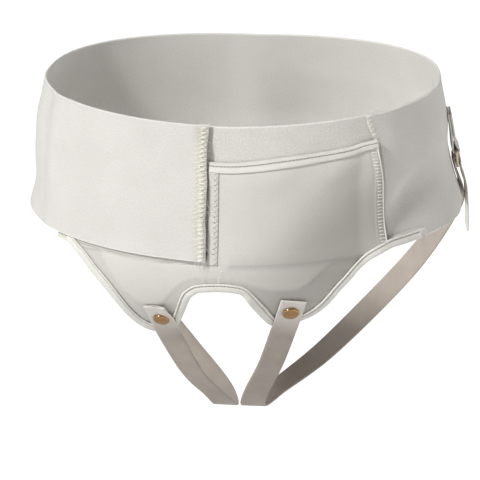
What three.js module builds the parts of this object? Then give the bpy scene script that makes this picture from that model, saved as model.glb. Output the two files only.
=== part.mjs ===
// A hernia belt in the form it has when worn. A wide elastic band goes round the hips and closes
// in front with an overlapping end. A soft front panel with a pocket hangs from it in two lobes.
// A strap snaps to each lobe, runs under the body and comes up to a metal slide on the hip.
// Millimetres and degrees. +X is the wearer's left, -Y the front, +Z up. The origin lies on the
// body's axis at the band's middle height.

import * as THREE from 'three';

// Body form that the belt holds
const hipWidth = 340; // across the band's lower edge
const waistWidth = 313; // across the band's upper edge
const hipFront = 117; // from the axis to the front, lower edge
const waistFront = 113;
const hipBack = 122; // from the axis to the back, lower edge
const waistBack = 101;
const frontRound = 1.85; // 2 is an ellipse, more is squarer
const backRound = 2.5;
const bandTilt = 14.7; // the front sits lower than the back

// Band and what lies under its free end
const bandHeight = 102;
const bandThick = 1.8;
const landingThick = 1.6;
const landingLeft = 146; // from the middle of the front to its hidden end
const seamAt = 124; // where the band starts, on the wearer's left
const seamLap = 10; // landing band under the band's start
const freeEndAt = 9; // free end, this far right of the middle
const freeEndLift = 1.6; // it stands off this much more than the layers need
const freeEndRise = 2.5; // it is closed this much higher than the landing band
const endRiseLength = 26; // length over which the free end comes to stand off
const bandEase = 30; // length over which the band comes down from, or up to, a layer under it
const lapClear = 4; // it is up this far before the landing band's end
const hookWidth = 110;
const hookMargin = 12; // hook patch to the band's edges
const foldLift = 4.5; // height of the fullest fold in the band

// Front panel
const clothThick = 1.2;
const plyThick = 1.2;
const panelReach = 134; // leg corner on the wearer's right, from the middle
const bindingReach = 174; // end of the tape on the wearer's left
const lobeDrop = 82; // lowest point of the lobes below the band
const panelLap = 8; // panel cloth that lies on the band above its lower edge
const settleLength = 26; // below the band, where the cloth comes down to the body form
const seamClimb = 16; // length over which the panel climbs onto the band's start
const seamClear = 2; // it is up this far before the seam
const leastDrop = 2.5; // least height of the cloth rows under the lap
const plyTop = 0.8; // top of the inner ply below the band's edge
const plyLeast = 3; // least drop of the inner ply
const pocketLeft = 6; // pocket edge right of the middle
const pocketRight = 127;
const pocketHeight = 77;
const tuckTop = 8; // lean of the panel where it leaves the band
const tuckMiddle = 60; // lean at the bottom, between the legs
const tuckSide = 40; // lean at the bottom, over the thighs
const tuckLength = 52; // cloth over which the lean builds up
const tuckSideAt = 120; // distance from the middle where the side lean is reached
const tuckInward = 0.45; // how far the side cloth turns to the middle as it leans

// Tapes, straps and metal
const tapeWidth = 6.5;
const tapeThick = 1;
const pocketTapeWidth = 7.5;
const strapWidth = 20;
const strapThick = 1.6;
const snapWidth = 13;
const snapHeight = 2.4;
const studWidth = 8;
const slideBar = 2;
const slideThick = 2;
const slideWindow = 6;
const slideSmallWindow = 3;
const tabLength = 31; // from the slide's top bar to the tab's top
const tabSink = 1.1; // its sewn top lies this much nearer the band
const tailLength = 57;
const adjusterLeft = 99; // degrees round from the front
const adjusterRight = 107;
const adjusterHeight = 0.39; // slide's top bar, share of the band's height
const adjusterLean = 14; // the strap pulls the slide's lower end backwards
const adjusterPitch = 3; // and inwards
const adjusterStand = 2.5; // the webbing lies this far off the band, which is hollow under the slide
const crotchDrop = 217; // middle of the straps below the origin, between the legs
const seatDepth = 112; // farthest back that the straps reach
const strapGap = 23; // between the middles of the two straps at their lowest point
const gap = 0.3;
const clothGap = 0.55; // between cloth layers that curve together

// Fineness of the grids
const bandPitch = 14;
const panelPitch = 6;
const tapePitch = 4;
const archPitch = 2.4;
const strapPitch = 11;
const bandRows = 7;
const wrapSteps = 6; // of webbing round a bar
const snapSides = 16;

// Soft folds of the body form under the band.
// at: degrees round from the front, up: share of the height, wide: degrees, tall and lift: shares
const bodyFolds = [
  { at: -88, up: 0.7, wide: 30, tall: 0.3, lift: 0.55 },
  { at: -88, up: 0.18, wide: 30, tall: 0.16, lift: -0.6 },
  { at: 96, up: 1, wide: 30, tall: 0.22, lift: -0.6 },
  { at: 96, up: 0.42, wide: 28, tall: 0.25, lift: -0.7 },
  { at: 96, up: 0, wide: 30, tall: 0.2, lift: 0.75 },
  { at: 158, up: 0.1, wide: 26, tall: 0.5, lift: 1.2 },
  { at: -158, up: 0.1, wide: 26, tall: 0.5, lift: 1.2 },
  { at: 180, up: 0.3, wide: 14, tall: 0.6, lift: -1 },
];

// Buckles of the free end, which only stand outwards.
const endFolds = [
  { at: -32, up: 0.42, wide: 16, tall: 0.09, lift: 0.3 },
  { at: -36, up: 0.62, wide: 20, tall: 0.08, lift: 0.24 },
  { at: -58, up: 0.2, wide: 14, tall: 0.12, lift: 0.3 },
];

// Finished lower outline of the panel. across: share of panelReach, drop: share of lobeDrop.
const panelOutline = [
  { across: -1, drop: 0.01 },
  { across: -0.88, drop: 0.155 },
  { across: -0.814, drop: 0.26 },
  { across: -0.75, drop: 0.35 },
  { across: -0.695, drop: 0.465 },
  { across: -0.65, drop: 0.6 },
  { across: -0.61, drop: 0.745 },
  { across: -0.56, drop: 0.87 },
  { across: -0.505, drop: 0.955 },
  { across: -0.45, drop: 1 },
  { across: -0.4, drop: 1 },
  { across: -0.36, drop: 0.975 },
  { across: -0.327, drop: 0.91 },
  { across: -0.28, drop: 0.77 },
  { across: -0.212, drop: 0.51 },
  { across: -0.166, drop: 0.36 },
  { across: -0.11, drop: 0.3 },
  { across: 0.01, drop: 0.28 },
  { across: 0.11, drop: 0.3 },
  { across: 0.178, drop: 0.48 },
  { across: 0.233, drop: 0.67 },
  { across: 0.275, drop: 0.8 },
  { across: 0.33, drop: 0.84 },
  { across: 0.38, drop: 0.84 },
  { across: 0.43, drop: 0.775 },
  { across: 0.477, drop: 0.7 },
  { across: 0.535, drop: 0.63 },
  { across: 0.592, drop: 0.55 },
  { across: 0.647, drop: 0.445 },
  { across: 0.7, drop: 0.33 },
  { across: 0.758, drop: 0.23 },
  { across: 0.812, drop: 0.13 },
  { across: 0.867, drop: 0.05 },
  { across: 0.93, drop: 0.005 },
  { across: 1, drop: -0.015 },
  { across: 1.32, drop: -0.015 },
];
const lobeMeet = { right: -0.425, left: 0.355 }; // shares of panelReach where the tapes meet

// Mouth of the pocket. across: share of pocketRight, up: share of pocketHeight.
const pocketMouth = [
  { across: -0.1, up: 0.99 },
  { across: 0.03, up: 0.975 },
  { across: 0.41, up: 1.01 },
  { across: 0.84, up: 1.01 },
  { across: 0.94, up: 1.05 },
  { across: 1.05, up: 1.06 },
];

// Outline of the second cloth. across: share of panelReach, drop: share of lobeDrop.
const plyOutline = [
  { across: -0.72, drop: 0.04 },
  { across: -0.68, drop: 0.19 },
  { across: -0.585, drop: 0.41 },
  { across: -0.5, drop: 0.52 },
  { across: -0.4, drop: 0.53 },
  { across: -0.29, drop: 0.34 },
  { across: -0.2, drop: 0.2 },
  { across: -0.1, drop: 0.15 },
  { across: 0.1, drop: 0.15 },
  { across: 0.2, drop: 0.22 },
  { across: 0.3, drop: 0.335 },
  { across: 0.42, drop: 0.38 },
  { across: 0.53, drop: 0.36 },
  { across: 0.65, drop: 0.24 },
  { across: 0.72, drop: 0.06 },
];

// Strap seat on each lobe: where the strap's top end, its snap and its lower crossing lie.
// across: share of panelReach, drop: share of lobeDrop, rise: share of strapThick over the tape.
const strapSeats = {
  left: [
    { across: 0.425, drop: 0.363 },
    { across: 0.408, drop: 0.485 },
    { across: 0.374, drop: 0.8, rise: 0.4 },
  ],
  right: [
    { across: -0.4, drop: 0.477 },
    { across: -0.388, drop: 0.65 },
    { across: -0.392, drop: 0.95, rise: 0.4 },
  ],
};

// Strap route from the lobe to the slide. across: share of the half hip width, back: share of
// seatDepth, down: share of crotchDrop. faces and dips: degrees that the outer face turns from
// the front towards the side, and down. The two front rows differ from side to side.
const strapRoute = {
  left: [
    { across: 0.187, back: -0.44, down: 0.79, faces: 12, dips: 42 },
    { across: 0.098, back: -0.19, down: 0.925, faces: 10, dips: 60 },
  ],
  right: [
    { across: 0.181, back: -0.33, down: 0.849, faces: 12, dips: 52 },
    { across: 0.099, back: -0.14, down: 0.941, faces: 10, dips: 64 },
  ],
  both: [
    { across: strapGap / hipWidth, back: 0.08, down: 1, faces: 90, dips: 88 },
    { across: 0.14, back: 0.5, down: 0.975, faces: 172, dips: 66 },
    { across: 0.33, back: 0.85, down: 0.87, faces: 166, dips: 36 },
    { across: 0.56, back: 0.99, down: 0.69, faces: 158, dips: 14 },
    { across: 0.77, back: 0.93, down: 0.5, faces: 142, dips: 2 },
  ],
};

// Strap from the band's lower edge to the slide. turn: degrees past the slide, up: share of the
// height of the slide's bottom bar, rise: off the slide's inner layer, share of strapThick.
const hipRows = [
  { turn: 11.5, up: -0.85, rise: -2.2 },
  { turn: 6, up: -0.05, rise: -0.5 },
  { turn: 3.6, up: 0.4, rise: -0.6 },
  { turn: 1.9, up: 0.78, rise: -1 },
];

// Free tail of the strap below the slide. down: share of tailLength, rise: share of strapThick.
const tailRows = [
  { down: 0.35, rise: 1.95 },
  { down: 0.7, rise: 1.6 },
  { down: 1, rise: 0.6 },
];

// Section of a snap cap. out: share of its radius, up: share of its height.
const capRows = [
  { out: 0, up: 0 },
  { out: 0.96, up: 0 },
  { out: 1, up: 0.2 },
  { out: 0.95, up: 0.45 },
  { out: 0.72, up: 0.78 },
  { out: 0.38, up: 0.95 },
  { out: 0, up: 1 },
];

const { degToRad, lerp, smoothstep } = THREE.MathUtils;
const hipHalf = hipWidth / 2;
const fullTurn = 2 * Math.PI;

// Heights of the layers above the body form
const panelLift = landingThick + clothGap;
const tapeTop = panelLift + clothThick + clothGap + tapeThick;
const freeEndBase = tapeTop + clothGap;
const strapLift = tapeTop + gap + strapThick / 2;
const seamLift = landingThick + clothGap;

// A smooth curve through [position, value] rows that never overshoots a row.
function curveThrough(rows) {
  const steps = rows.slice(1).map((row, i) => (row[1] - rows[i][1]) / (row[0] - rows[i][0]));
  const slopes = rows.map((row, i) => {
    const before = steps[i - 1] ?? steps[i];
    const after = steps[i] ?? steps[i - 1];
    return before * after > 0 ? (2 * before * after) / (before + after) : 0;
  });
  return (position) => {
    const inside = Math.min(Math.max(position, rows[0][0]), rows.at(-1)[0]);
    const i = Math.max(0, rows.findIndex((row) => row[0] >= inside) - 1);
    const span = rows[i + 1][0] - rows[i][0];
    const s = (inside - rows[i][0]) / span;
    const rise = rows[i + 1][1] - rows[i][1];
    const startBend = slopes[i] * span;
    const endBend = slopes[i + 1] * span;
    const ease = s * s * (3 - 2 * s);
    return rows[i][1] + rise * ease + s * (1 - s) * (startBend * (1 - s) - endBend * s);
  };
}

// Sum of soft bumps, each a bell in angle and in height.
function foldHeight(folds, angle, up) {
  let sum = 0;
  for (const fold of folds) {
    const turn = Math.cos(angle - degToRad(fold.at));
    const side = Math.acos(Math.min(1, turn)) / degToRad(fold.wide);
    const rise = (up - fold.up) / fold.tall;
    sum += fold.lift * foldLift * Math.exp(-(side * side) - rise * rise);
  }
  return sum;
}

// Distance from the axis to the body form: a superellipse that changes from hip to waist.
function bodyRadius(angle, up) {
  const facing = Math.cos(angle);
  const width = lerp(hipHalf, waistWidth / 2, up);
  const depth = facing > 0 ? lerp(hipFront, waistFront, up) : lerp(hipBack, waistBack, up);
  const power = facing > 0 ? frontRound : backRound;
  const side = Math.abs(Math.sin(angle) / width) ** power;
  const ahead = Math.abs(facing / depth) ** power;
  return (side + ahead) ** (-1 / power);
}

// Point on the band: angle round from the front, up from 0 to 1, lift above the body form.
function bandPoint(angle, up, lift) {
  const reach = bodyRadius(angle, up) + foldHeight(bodyFolds, angle, up) + lift;
  const x = reach * Math.sin(angle);
  const y = -reach * Math.cos(angle);
  return new THREE.Vector3(x, y, bandHeight * (up - 0.5) + y * Math.tan(degToRad(bandTilt)));
}

// Outward normal of the band.
function bandNormal(angle, up) {
  const rise = bandPoint(angle, up + 0.05, 0).sub(bandPoint(angle, up - 0.05, 0));
  const round = bandPoint(angle + 0.05, up, 0).sub(bandPoint(angle - 0.05, up, 0));
  return round.cross(rise).normalize();
}

// Lengths round the smooth lower edge, so that cloth can be placed by its distance from the middle.
const ringSteps = 720;
const ringLengths = [0];
for (let i = 1; i <= ringSteps; i += 1) {
  const a = (fullTurn * (i - 1)) / ringSteps;
  const b = (fullTurn * i) / ringSteps;
  const tilt = Math.tan(degToRad(bandTilt));
  const dx = bodyRadius(b, 0) * Math.sin(b) - bodyRadius(a, 0) * Math.sin(a);
  const dy = bodyRadius(b, 0) * Math.cos(b) - bodyRadius(a, 0) * Math.cos(a);
  ringLengths.push(ringLengths[i - 1] + Math.hypot(dx, dy, dy * tilt));
}
const ringLength = ringLengths[ringSteps];

// Angle at a distance along the lower edge, positive to the wearer's left.
function angleAt(along) {
  const turns = Math.floor(along / ringLength);
  const rest = along - turns * ringLength;
  let i = Math.floor((rest / ringLength) * ringSteps);
  while (i > 0 && ringLengths[i] > rest) i -= 1;
  while (i < ringSteps - 1 && ringLengths[i + 1] < rest) i += 1;
  const share = (rest - ringLengths[i]) / (ringLengths[i + 1] - ringLengths[i]);
  return fullTurn * (turns + (i + share) / ringSteps);
}

// Point on the body form below the band, where the cloth leans under along an arc.
function tuckedPoint(along, down) {
  const angle = angleAt(along);
  const edge = bandPoint(angle, 0, 0);
  const ahead = bandPoint(angle + 0.01, 0, 0);
  const out = new THREE.Vector2(ahead.y - edge.y, edge.x - ahead.x).normalize();
  const inward = new THREE.Vector2(-tuckInward * out.x, -out.y).normalize();
  const sideShare = smoothstep(Math.abs(along), 0, tuckSideAt);
  const start = degToRad(tuckTop);
  const turn = (degToRad(lerp(tuckMiddle, tuckSide, sideShare)) - start) / tuckLength;
  const bent = Math.min(down, tuckLength);
  const end = start + turn * bent;
  const straight = down - bent;
  const inBy = (Math.cos(start) - Math.cos(end)) / turn + straight * Math.sin(end);
  const downBy = (Math.sin(end) - Math.sin(start)) / turn + straight * Math.cos(end);
  return new THREE.Vector3(edge.x + inward.x * inBy, edge.y + inward.y * inBy, edge.z - downBy);
}

// Outward normal of the tucked form.
function tuckedNormal(along, down) {
  const step = 2;
  const acrossway = tuckedPoint(along + step, down).sub(tuckedPoint(along - step, down));
  const downway = tuckedPoint(along, down + step).sub(tuckedPoint(along, Math.max(0, down - step)));
  return downway.cross(acrossway).normalize();
}

// Point on the cloth: along the lower edge, down from it (negative is up on the band), and lift.
function clothPoint(along, down, lift) {
  const angle = angleAt(along);
  if (down <= 0) return bandPoint(angle, -down / bandHeight, lift);
  const base = tuckedPoint(along, down);
  const onBand = bandPoint(angle, 0, 1).sub(bandPoint(angle, 0, 0));
  const share = smoothstep(down, 0, panelLap * 2);
  return base.addScaledVector(onBand.lerp(tuckedNormal(along, down), share), lift);
}

// Share of the way that the band has come up onto the landing band's hidden end.
function lapShare(along) {
  const up = ringLength - landingLeft - lapClear;
  return smoothstep(along, up - bandEase, up);
}

// Lift of the band's inner face along its length: it eases down from the seam, lies on the
// body form round the back, and climbs over the landing band and the closure in front.
function bandLift(along) {
  const seamEase = 1 - smoothstep(along, seamAt + seamLap, seamAt + seamLap + bandEase);
  const end = ringLength - freeEndAt;
  const endEase = smoothstep(along, end - endRiseLength, end);
  return seamLift * seamEase + freeEndBase * lapShare(along) + freeEndLift * endEase;
}

// Lift of the front panel's inner face: flat on the landing band, a tape's wall higher at the
// pocket's mouth, up over the seam, and level again below the band.
function panelBase(along, down) {
  const tapeRoom = tapeThick + clothGap;
  const mouth = mouthUp(along);
  const nearMouth = smoothstep(-down, mouth - pocketTapeWidth * 4, mouth - pocketTapeWidth);
  const overBand = bandLift(Math.max(along, seamAt)) + bandThick + clothGap + tapeRoom;
  const climb = smoothstep(along, seamAt - seamClear - seamClimb, seamAt - seamClear);
  const settle = smoothstep(down, 0, settleLength);
  return lerp(lerp(panelLift + tapeRoom * nearMouth, overBand, climb), panelLift, settle);
}

// Positions from stop to stop, split so that no step is longer than the pitch.
function divide(stops, pitch) {
  const places = [stops[0]];
  for (let i = 1; i < stops.length; i += 1) {
    const count = Math.max(1, Math.round((stops[i] - stops[i - 1]) / pitch));
    for (let k = 1; k <= count; k += 1) places.push(lerp(stops[i - 1], stops[i], k / count));
  }
  return places;
}

// Closed mesh from points and triangles, turned so that its faces point outwards.
function closedGeometry(points, triangles) {
  let volume = 0;
  for (const [a, b, c] of triangles) {
    volume += points[a].dot(points[b].clone().cross(points[c]));
  }
  const geometry = new THREE.BufferGeometry().setFromPoints(points);
  geometry.setIndex(triangles.flatMap(([a, b, c]) => (volume > 0 ? [a, b, c] : [a, c, b])));
  geometry.computeVertexNormals();
  return geometry;
}

// Cloth wall over a grid of cells. place(column, row, face) gives a point of the inner face (0)
// or the outer face (1); keep says which cells are cloth.
function wall(columns, rows, place, keep = () => true) {
  const points = [];
  for (const face of [0, 1]) {
    for (let i = 0; i < columns; i += 1) {
      for (let j = 0; j < rows; j += 1) points.push(place(i, j, face));
    }
  }
  const at = (i, j, face) => face * columns * rows + i * rows + j;
  const isCloth = (i, j) => i >= 0 && j >= 0 && i < columns - 1 && j < rows - 1 && keep(i, j);
  const triangles = [];
  const quad = (a, b, c, d) => triangles.push([a, b, c], [a, c, d]);
  for (let i = 0; i < columns - 1; i += 1) {
    for (let j = 0; j < rows - 1; j += 1) {
      if (!isCloth(i, j)) continue;
      quad(at(i, j, 1), at(i + 1, j, 1), at(i + 1, j + 1, 1), at(i, j + 1, 1));
      quad(at(i, j, 0), at(i, j + 1, 0), at(i + 1, j + 1, 0), at(i + 1, j, 0));
      const corners = [[i, j], [i + 1, j], [i + 1, j + 1], [i, j + 1]];
      const beside = [[i, j - 1], [i + 1, j], [i, j + 1], [i - 1, j]];
      beside.forEach(([bi, bj], side) => {
        if (isCloth(bi, bj)) return;
        const [p, q] = [corners[side], corners[(side + 1) % 4]];
        quad(at(...p, 1), at(...p, 0), at(...q, 0), at(...q, 1));
      });
    }
  }
  const used = [...new Set(triangles.flat())].sort((a, b) => a - b);
  const renumber = new Map(used.map((old, index) => [old, index]));
  const kept = triangles.map((triangle) => triangle.map((corner) => renumber.get(corner)));
  return closedGeometry(used.map((index) => points[index]), kept);
}

// Closed body from equal rings of points, capped at both ends.
function rings(stations) {
  const count = stations[0].length;
  const triangles = [];
  for (let i = 0; i < stations.length - 1; i += 1) {
    for (let k = 0; k < count; k += 1) {
      const a = i * count + k;
      const b = i * count + ((k + 1) % count);
      triangles.push([a, b, b + count], [a, b + count, a + count]);
    }
  }
  const flat = stations[0].map((point) => new THREE.Vector2(point.section.x, point.section.y));
  const last = (stations.length - 1) * count;
  for (const [a, b, c] of THREE.ShapeUtils.triangulateShape(flat, [])) {
    triangles.push([a, c, b], [last + a, last + b, last + c]);
  }
  return closedGeometry(stations.flat().map((point) => point.position), triangles);
}

const outlineRows = panelOutline.map((row) => [row.across * panelReach, row.drop * lobeDrop]);
const outlineDrop = curveThrough(outlineRows);
const plyDrop = curveThrough(plyOutline.map((row) => [row.across * panelReach, row.drop * lobeDrop]));
const mouthUp = curveThrough(pocketMouth.map((row) => [row.across * pocketRight, row.up * pocketHeight]));
const lobeMiddle = { right: lobeMeet.right * panelReach, left: lobeMeet.left * panelReach };
const tapeMeet = gap; // each tape stops this far from the lobe's lowest point

// Cloth edge, halfway into its tape: the finished outline moved in square to itself.
function clothDrop(along) {
  const slope = (outlineDrop(along + 1) - outlineDrop(along - 1)) / 2;
  return outlineDrop(along) - (tapeWidth / 2) * Math.hypot(1, slope);
}

function waistBand() {
  const end = ringLength - freeEndAt;
  const lapStart = ringLength - landingLeft;
  const stops = [seamAt, seamAt + seamLap, lapStart, end - endRiseLength, end];
  const places = divide(stops, bandPitch);
  return wall(places.length, bandRows + 1, (i, j, face) => {
    const along = places[i];
    const up = j / bandRows + (freeEndRise / bandHeight) * lapShare(along);
    const angle = angleAt(along);
    const buckle = foldHeight(endFolds, angle, up) * smoothstep(along, lapStart, end);
    return bandPoint(angle, up, bandLift(along) + buckle + face * bandThick);
  });
}

function landingBand() {
  const places = divide([-landingLeft, seamAt + seamLap], bandPitch);
  return wall(places.length, bandRows + 1, (i, j, face) =>
    bandPoint(angleAt(places[i]), j / bandRows, face * landingThick));
}

function hookPatch() {
  const start = -freeEndAt - hookMargin - hookWidth;
  const places = divide([start, start + hookWidth], bandPitch);
  const rows = 4;
  const low = hookMargin / bandHeight;
  const inner = landingThick + gap;
  return wall(places.length, rows + 1, (i, j, face) => {
    const up = lerp(low, 1 - low, j / rows);
    return bandPoint(angleAt(places[i]), up, lerp(inner, freeEndBase - gap, face));
  });
}

// The panel's cells run down from the pocket's mouth. Beside the pocket only the lap and the
// part below the band are cloth.
function frontPanel() {
  const places = divide([-panelReach, -pocketLeft, pocketRight, bindingReach], panelPitch);
  const pocketRows = 5;
  const dropRows = 9;
  return wall(places.length, pocketRows + dropRows + 2, (i, j, face) => {
    const along = places[i];
    const low = clothDrop(along);
    const edge = Math.min(0, low - leastDrop);
    const top = -mouthUp(along) + pocketTapeWidth / 2;
    let down = lerp(edge, low, (j - pocketRows - 1) / dropRows);
    if (j <= pocketRows) down = lerp(top, -panelLap, j / pocketRows);
    return clothPoint(along, down, panelBase(along, down) + face * clothThick);
  }, (i, j) => {
    const middle = (places[i] + places[i + 1]) / 2;
    return j >= pocketRows || (middle > -pocketLeft && middle < pocketRight);
  });
}

function innerPly() {
  const reach = plyOutline.at(-1).across * panelReach;
  const start = plyOutline[0].across * panelReach;
  const places = divide([start, reach], panelPitch);
  const rows = 6;
  return wall(places.length, rows + 1, (i, j, face) => {
    const down = lerp(plyTop, Math.max(plyLeast, plyDrop(places[i])), j / rows);
    return clothPoint(places[i], down, panelLift - clothGap - plyThick * (1 - face));
  });
}

// Folded tape over a panel edge, a U in section. edge(along) gives how far down the finished
// edge lies, side is 1 where the cloth is above it and -1 where it is below. The inner wall
// goes no higher than highest.
function edgeTape(places, edge, side, width, highest = -bandHeight) {
  const inner = -clothGap - tapeThick;
  const outer = clothThick + clothGap + tapeThick;
  const seat = clothThick + clothGap;
  const round = tapeThick * 0.7;
  const section = [
    [width, -clothGap], [tapeThick, -clothGap], [tapeThick, seat], [width, seat], [width, outer],
    [round, outer], [0, outer - round], [0, inner + round], [round, inner], [width, inner],
  ].map(([x, y]) => new THREE.Vector2(x, y));
  const stations = places.map((along) => {
    const slope = (edge(along + 0.5) - edge(along - 0.5)) * side;
    const inward = new THREE.Vector2(slope, -1).normalize();
    return section.map((corner) => {
      const across = along + inward.x * corner.x * side;
      const free = edge(along) + inward.y * corner.x * side;
      const down = corner.y < 0 ? Math.max(free, highest) : free;
      const lift = panelBase(across, free) + corner.y;
      return { section: corner, position: clothPoint(across, down, lift) };
    });
  });
  return rings(stations);
}

function legTape(from, to, highest) {
  return edgeTape(divide([from, to], tapePitch), outlineDrop, 1, tapeWidth, highest);
}

function archTape() {
  const places = divide([lobeMiddle.right + tapeMeet, lobeMiddle.left - tapeMeet], archPitch);
  return edgeTape(places, outlineDrop, 1, tapeWidth);
}

function pocketTape() {
  const places = divide([-pocketLeft, pocketRight], panelPitch);
  return edgeTape(places, (along) => -mouthUp(along), -1, pocketTapeWidth);
}

// Width and thickness directions of webbing at one point of its route.
function webbingFrame(route, i) {
  const before = route[Math.max(0, i - 1)].position;
  const after = route[Math.min(route.length - 1, i + 1)].position;
  const way = after.clone().sub(before).normalize();
  const wide = route[i].wide.clone().addScaledVector(way, -route[i].wide.dot(way)).normalize();
  return { wide, out: way.clone().cross(wide) };
}

// Flat webbing carried along points, each with the direction of its width.
function webbing(route, width, thick) {
  const stations = route.map((point, i) => {
    const { wide, out } = webbingFrame(route, i);
    const corners = [[-0.5, -0.5], [0.5, -0.5], [0.5, 0.5], [-0.5, 0.5]];
    return corners.map(([w, t]) => ({
      section: new THREE.Vector2(w, t),
      position: point.position.clone()
        .addScaledVector(wide, w * width)
        .addScaledVector(out, t * thick),
    }));
  });
  return rings(stations);
}

// Smooth route through chosen rows, widths blended from row to row.
function smoothRoute(rows, pitch) {
  const line = new THREE.CatmullRomCurve3(rows.map((row) => row.position), false, 'centripetal');
  const last = rows.length - 1;
  const route = [];
  rows.forEach((row, i) => {
    route.push(row);
    if (i === last) return;
    const length = row.position.distanceTo(rows[i + 1].position);
    const count = Math.max(1, Math.round(length / pitch));
    for (let k = 1; k < count; k += 1) {
      const position = line.getPoint((i + k / count) / last);
      route.push({ position, wide: row.wide.clone().lerp(rows[i + 1].wide, k / count) });
    }
  });
  return route;
}

// Local place on a hip: height along the band's surface and distance out from the body form,
// both measured from the middle of the slide's top bar.
function hipPlace(side) {
  const angle = degToRad(side > 0 ? adjusterLeft : -adjusterRight);
  const origin = bandPoint(angle, adjusterHeight, 0);
  const up = bandPoint(angle, adjusterHeight + 0.1, 0).sub(bandPoint(angle, adjusterHeight - 0.1, 0));
  up.normalize();
  const out = bandNormal(angle, adjusterHeight);
  up.applyAxisAngle(out, side * degToRad(adjusterLean));
  const wide = up.clone().cross(out).normalize();
  up.applyAxisAngle(wide, degToRad(adjusterPitch));
  out.applyAxisAngle(wide, degToRad(adjusterPitch));
  const point = (height, lift) =>
    origin.clone().addScaledVector(up, height).addScaledVector(out, lift);
  return { angle, up, out, wide, point };
}

const innerLayer = bandThick + adjusterStand + strapThick / 2;
const barLift = innerLayer + strapThick / 2 + clothGap + slideThick / 2;
const outerLayer = 2 * barLift - innerLayer;
const middleBar = -(slideBar + slideWindow);
const bottomBar = middleBar - slideBar - slideSmallWindow;

// Half turn of webbing round a bar: height and lift of each step.
function wrap(barHeight, fromInside, over) {
  const radius = barLift - innerLayer;
  const turn = over ? 1 : -1;
  const places = [];
  for (let k = 0; k <= wrapSteps; k += 1) {
    const angle = Math.PI * (k / wrapSteps);
    const lift = barLift - (fromInside ? 1 : -1) * radius * Math.cos(angle);
    places.push([barHeight + turn * radius * Math.sin(angle), lift]);
  }
  return places;
}

// The strap's route: from its lobe under the body, up over the band's lower edge to the hip,
// over the slide's middle bar and down in a free tail. Also gives the index of the snap's point.
function strapPath(side) {
  const seat = side > 0 ? strapSeats.left : strapSeats.right;
  const own = side > 0 ? strapRoute.left : strapRoute.right;
  const rows = seat.map((row) => {
    const along = row.across * panelReach;
    const down = row.drop * lobeDrop;
    const lift = strapLift + (row.rise ?? 0) * strapThick;
    return { position: clothPoint(along, down, lift), out: tuckedNormal(along, down) };
  });
  for (const row of [...own, ...strapRoute.both]) {
    const turn = degToRad(row.faces);
    const dip = degToRad(row.dips);
    const across = side * row.across * hipHalf;
    rows.push({
      position: new THREE.Vector3(across, row.back * seatDepth, -row.down * crotchDrop),
      out: new THREE.Vector3(
        side * Math.sin(turn) * Math.cos(dip),
        -Math.cos(turn) * Math.cos(dip),
        -Math.sin(dip),
      ),
    });
  }
  const hip = hipPlace(side);
  for (const row of hipRows) {
    const up = row.up * (adjusterHeight + bottomBar / bandHeight);
    const angle = hip.angle + side * degToRad(row.turn);
    const position = bandPoint(angle, up, innerLayer + row.rise * strapThick);
    rows.push({ position, out: bandNormal(angle, up) });
  }
  rows.push({ position: hip.point(bottomBar, innerLayer), out: hip.out });
  const points = rows.map((row, i) => {
    const before = rows[Math.max(0, i - 1)].position;
    const after = rows[Math.min(rows.length - 1, i + 1)].position;
    const way = after.clone().sub(before);
    return { position: row.position, wide: row.out.clone().cross(way).normalize() };
  });
  const flip = points.at(-1).wide.dot(hip.wide) < 0 ? -1 : 1;
  const route = smoothRoute(points, strapPitch);
  const tail = [
    ...wrap(middleBar, true, true),
    [bottomBar, outerLayer],
    ...tailRows.map((row) => [bottomBar - row.down * tailLength, outerLayer + row.rise * strapThick]),
  ];
  for (const [height, lift] of tail) {
    route.push({ position: hip.point(height, lift), wide: hip.wide.clone().multiplyScalar(flip) });
  }
  return { route, snapIndex: route.indexOf(points[1]) };
}

// Doubled webbing sewn to the band, with the slide's top bar in its loop.
function hipTab(side) {
  const hip = hipPlace(side);
  const doubled = innerLayer + strapThick + gap;
  const layers = [
    [tabLength, innerLayer - tabSink],
    [tabLength * 0.5, innerLayer],
    ...wrap(0, true, false),
    [slideBar * 3, doubled + 2 * gap],
    [tabLength * 0.5, doubled],
    [tabLength, doubled - tabSink],
  ];
  const route = layers.map(([height, lift]) => ({ position: hip.point(height, lift), wide: hip.wide }));
  return webbing(route, strapWidth, strapThick);
}

function roundedRectangle(Kind, width, height, middle, radius) {
  const path = new Kind();
  const [x, y] = [width / 2 - radius, height / 2 - radius];
  path.absarc(x, middle - y, radius, -Math.PI / 2, 0);
  path.absarc(x, middle + y, radius, 0, Math.PI / 2);
  path.absarc(-x, middle + y, radius, Math.PI / 2, Math.PI);
  path.absarc(-x, middle - y, radius, Math.PI, Math.PI * 1.5);
  path.closePath();
  return path;
}

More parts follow.
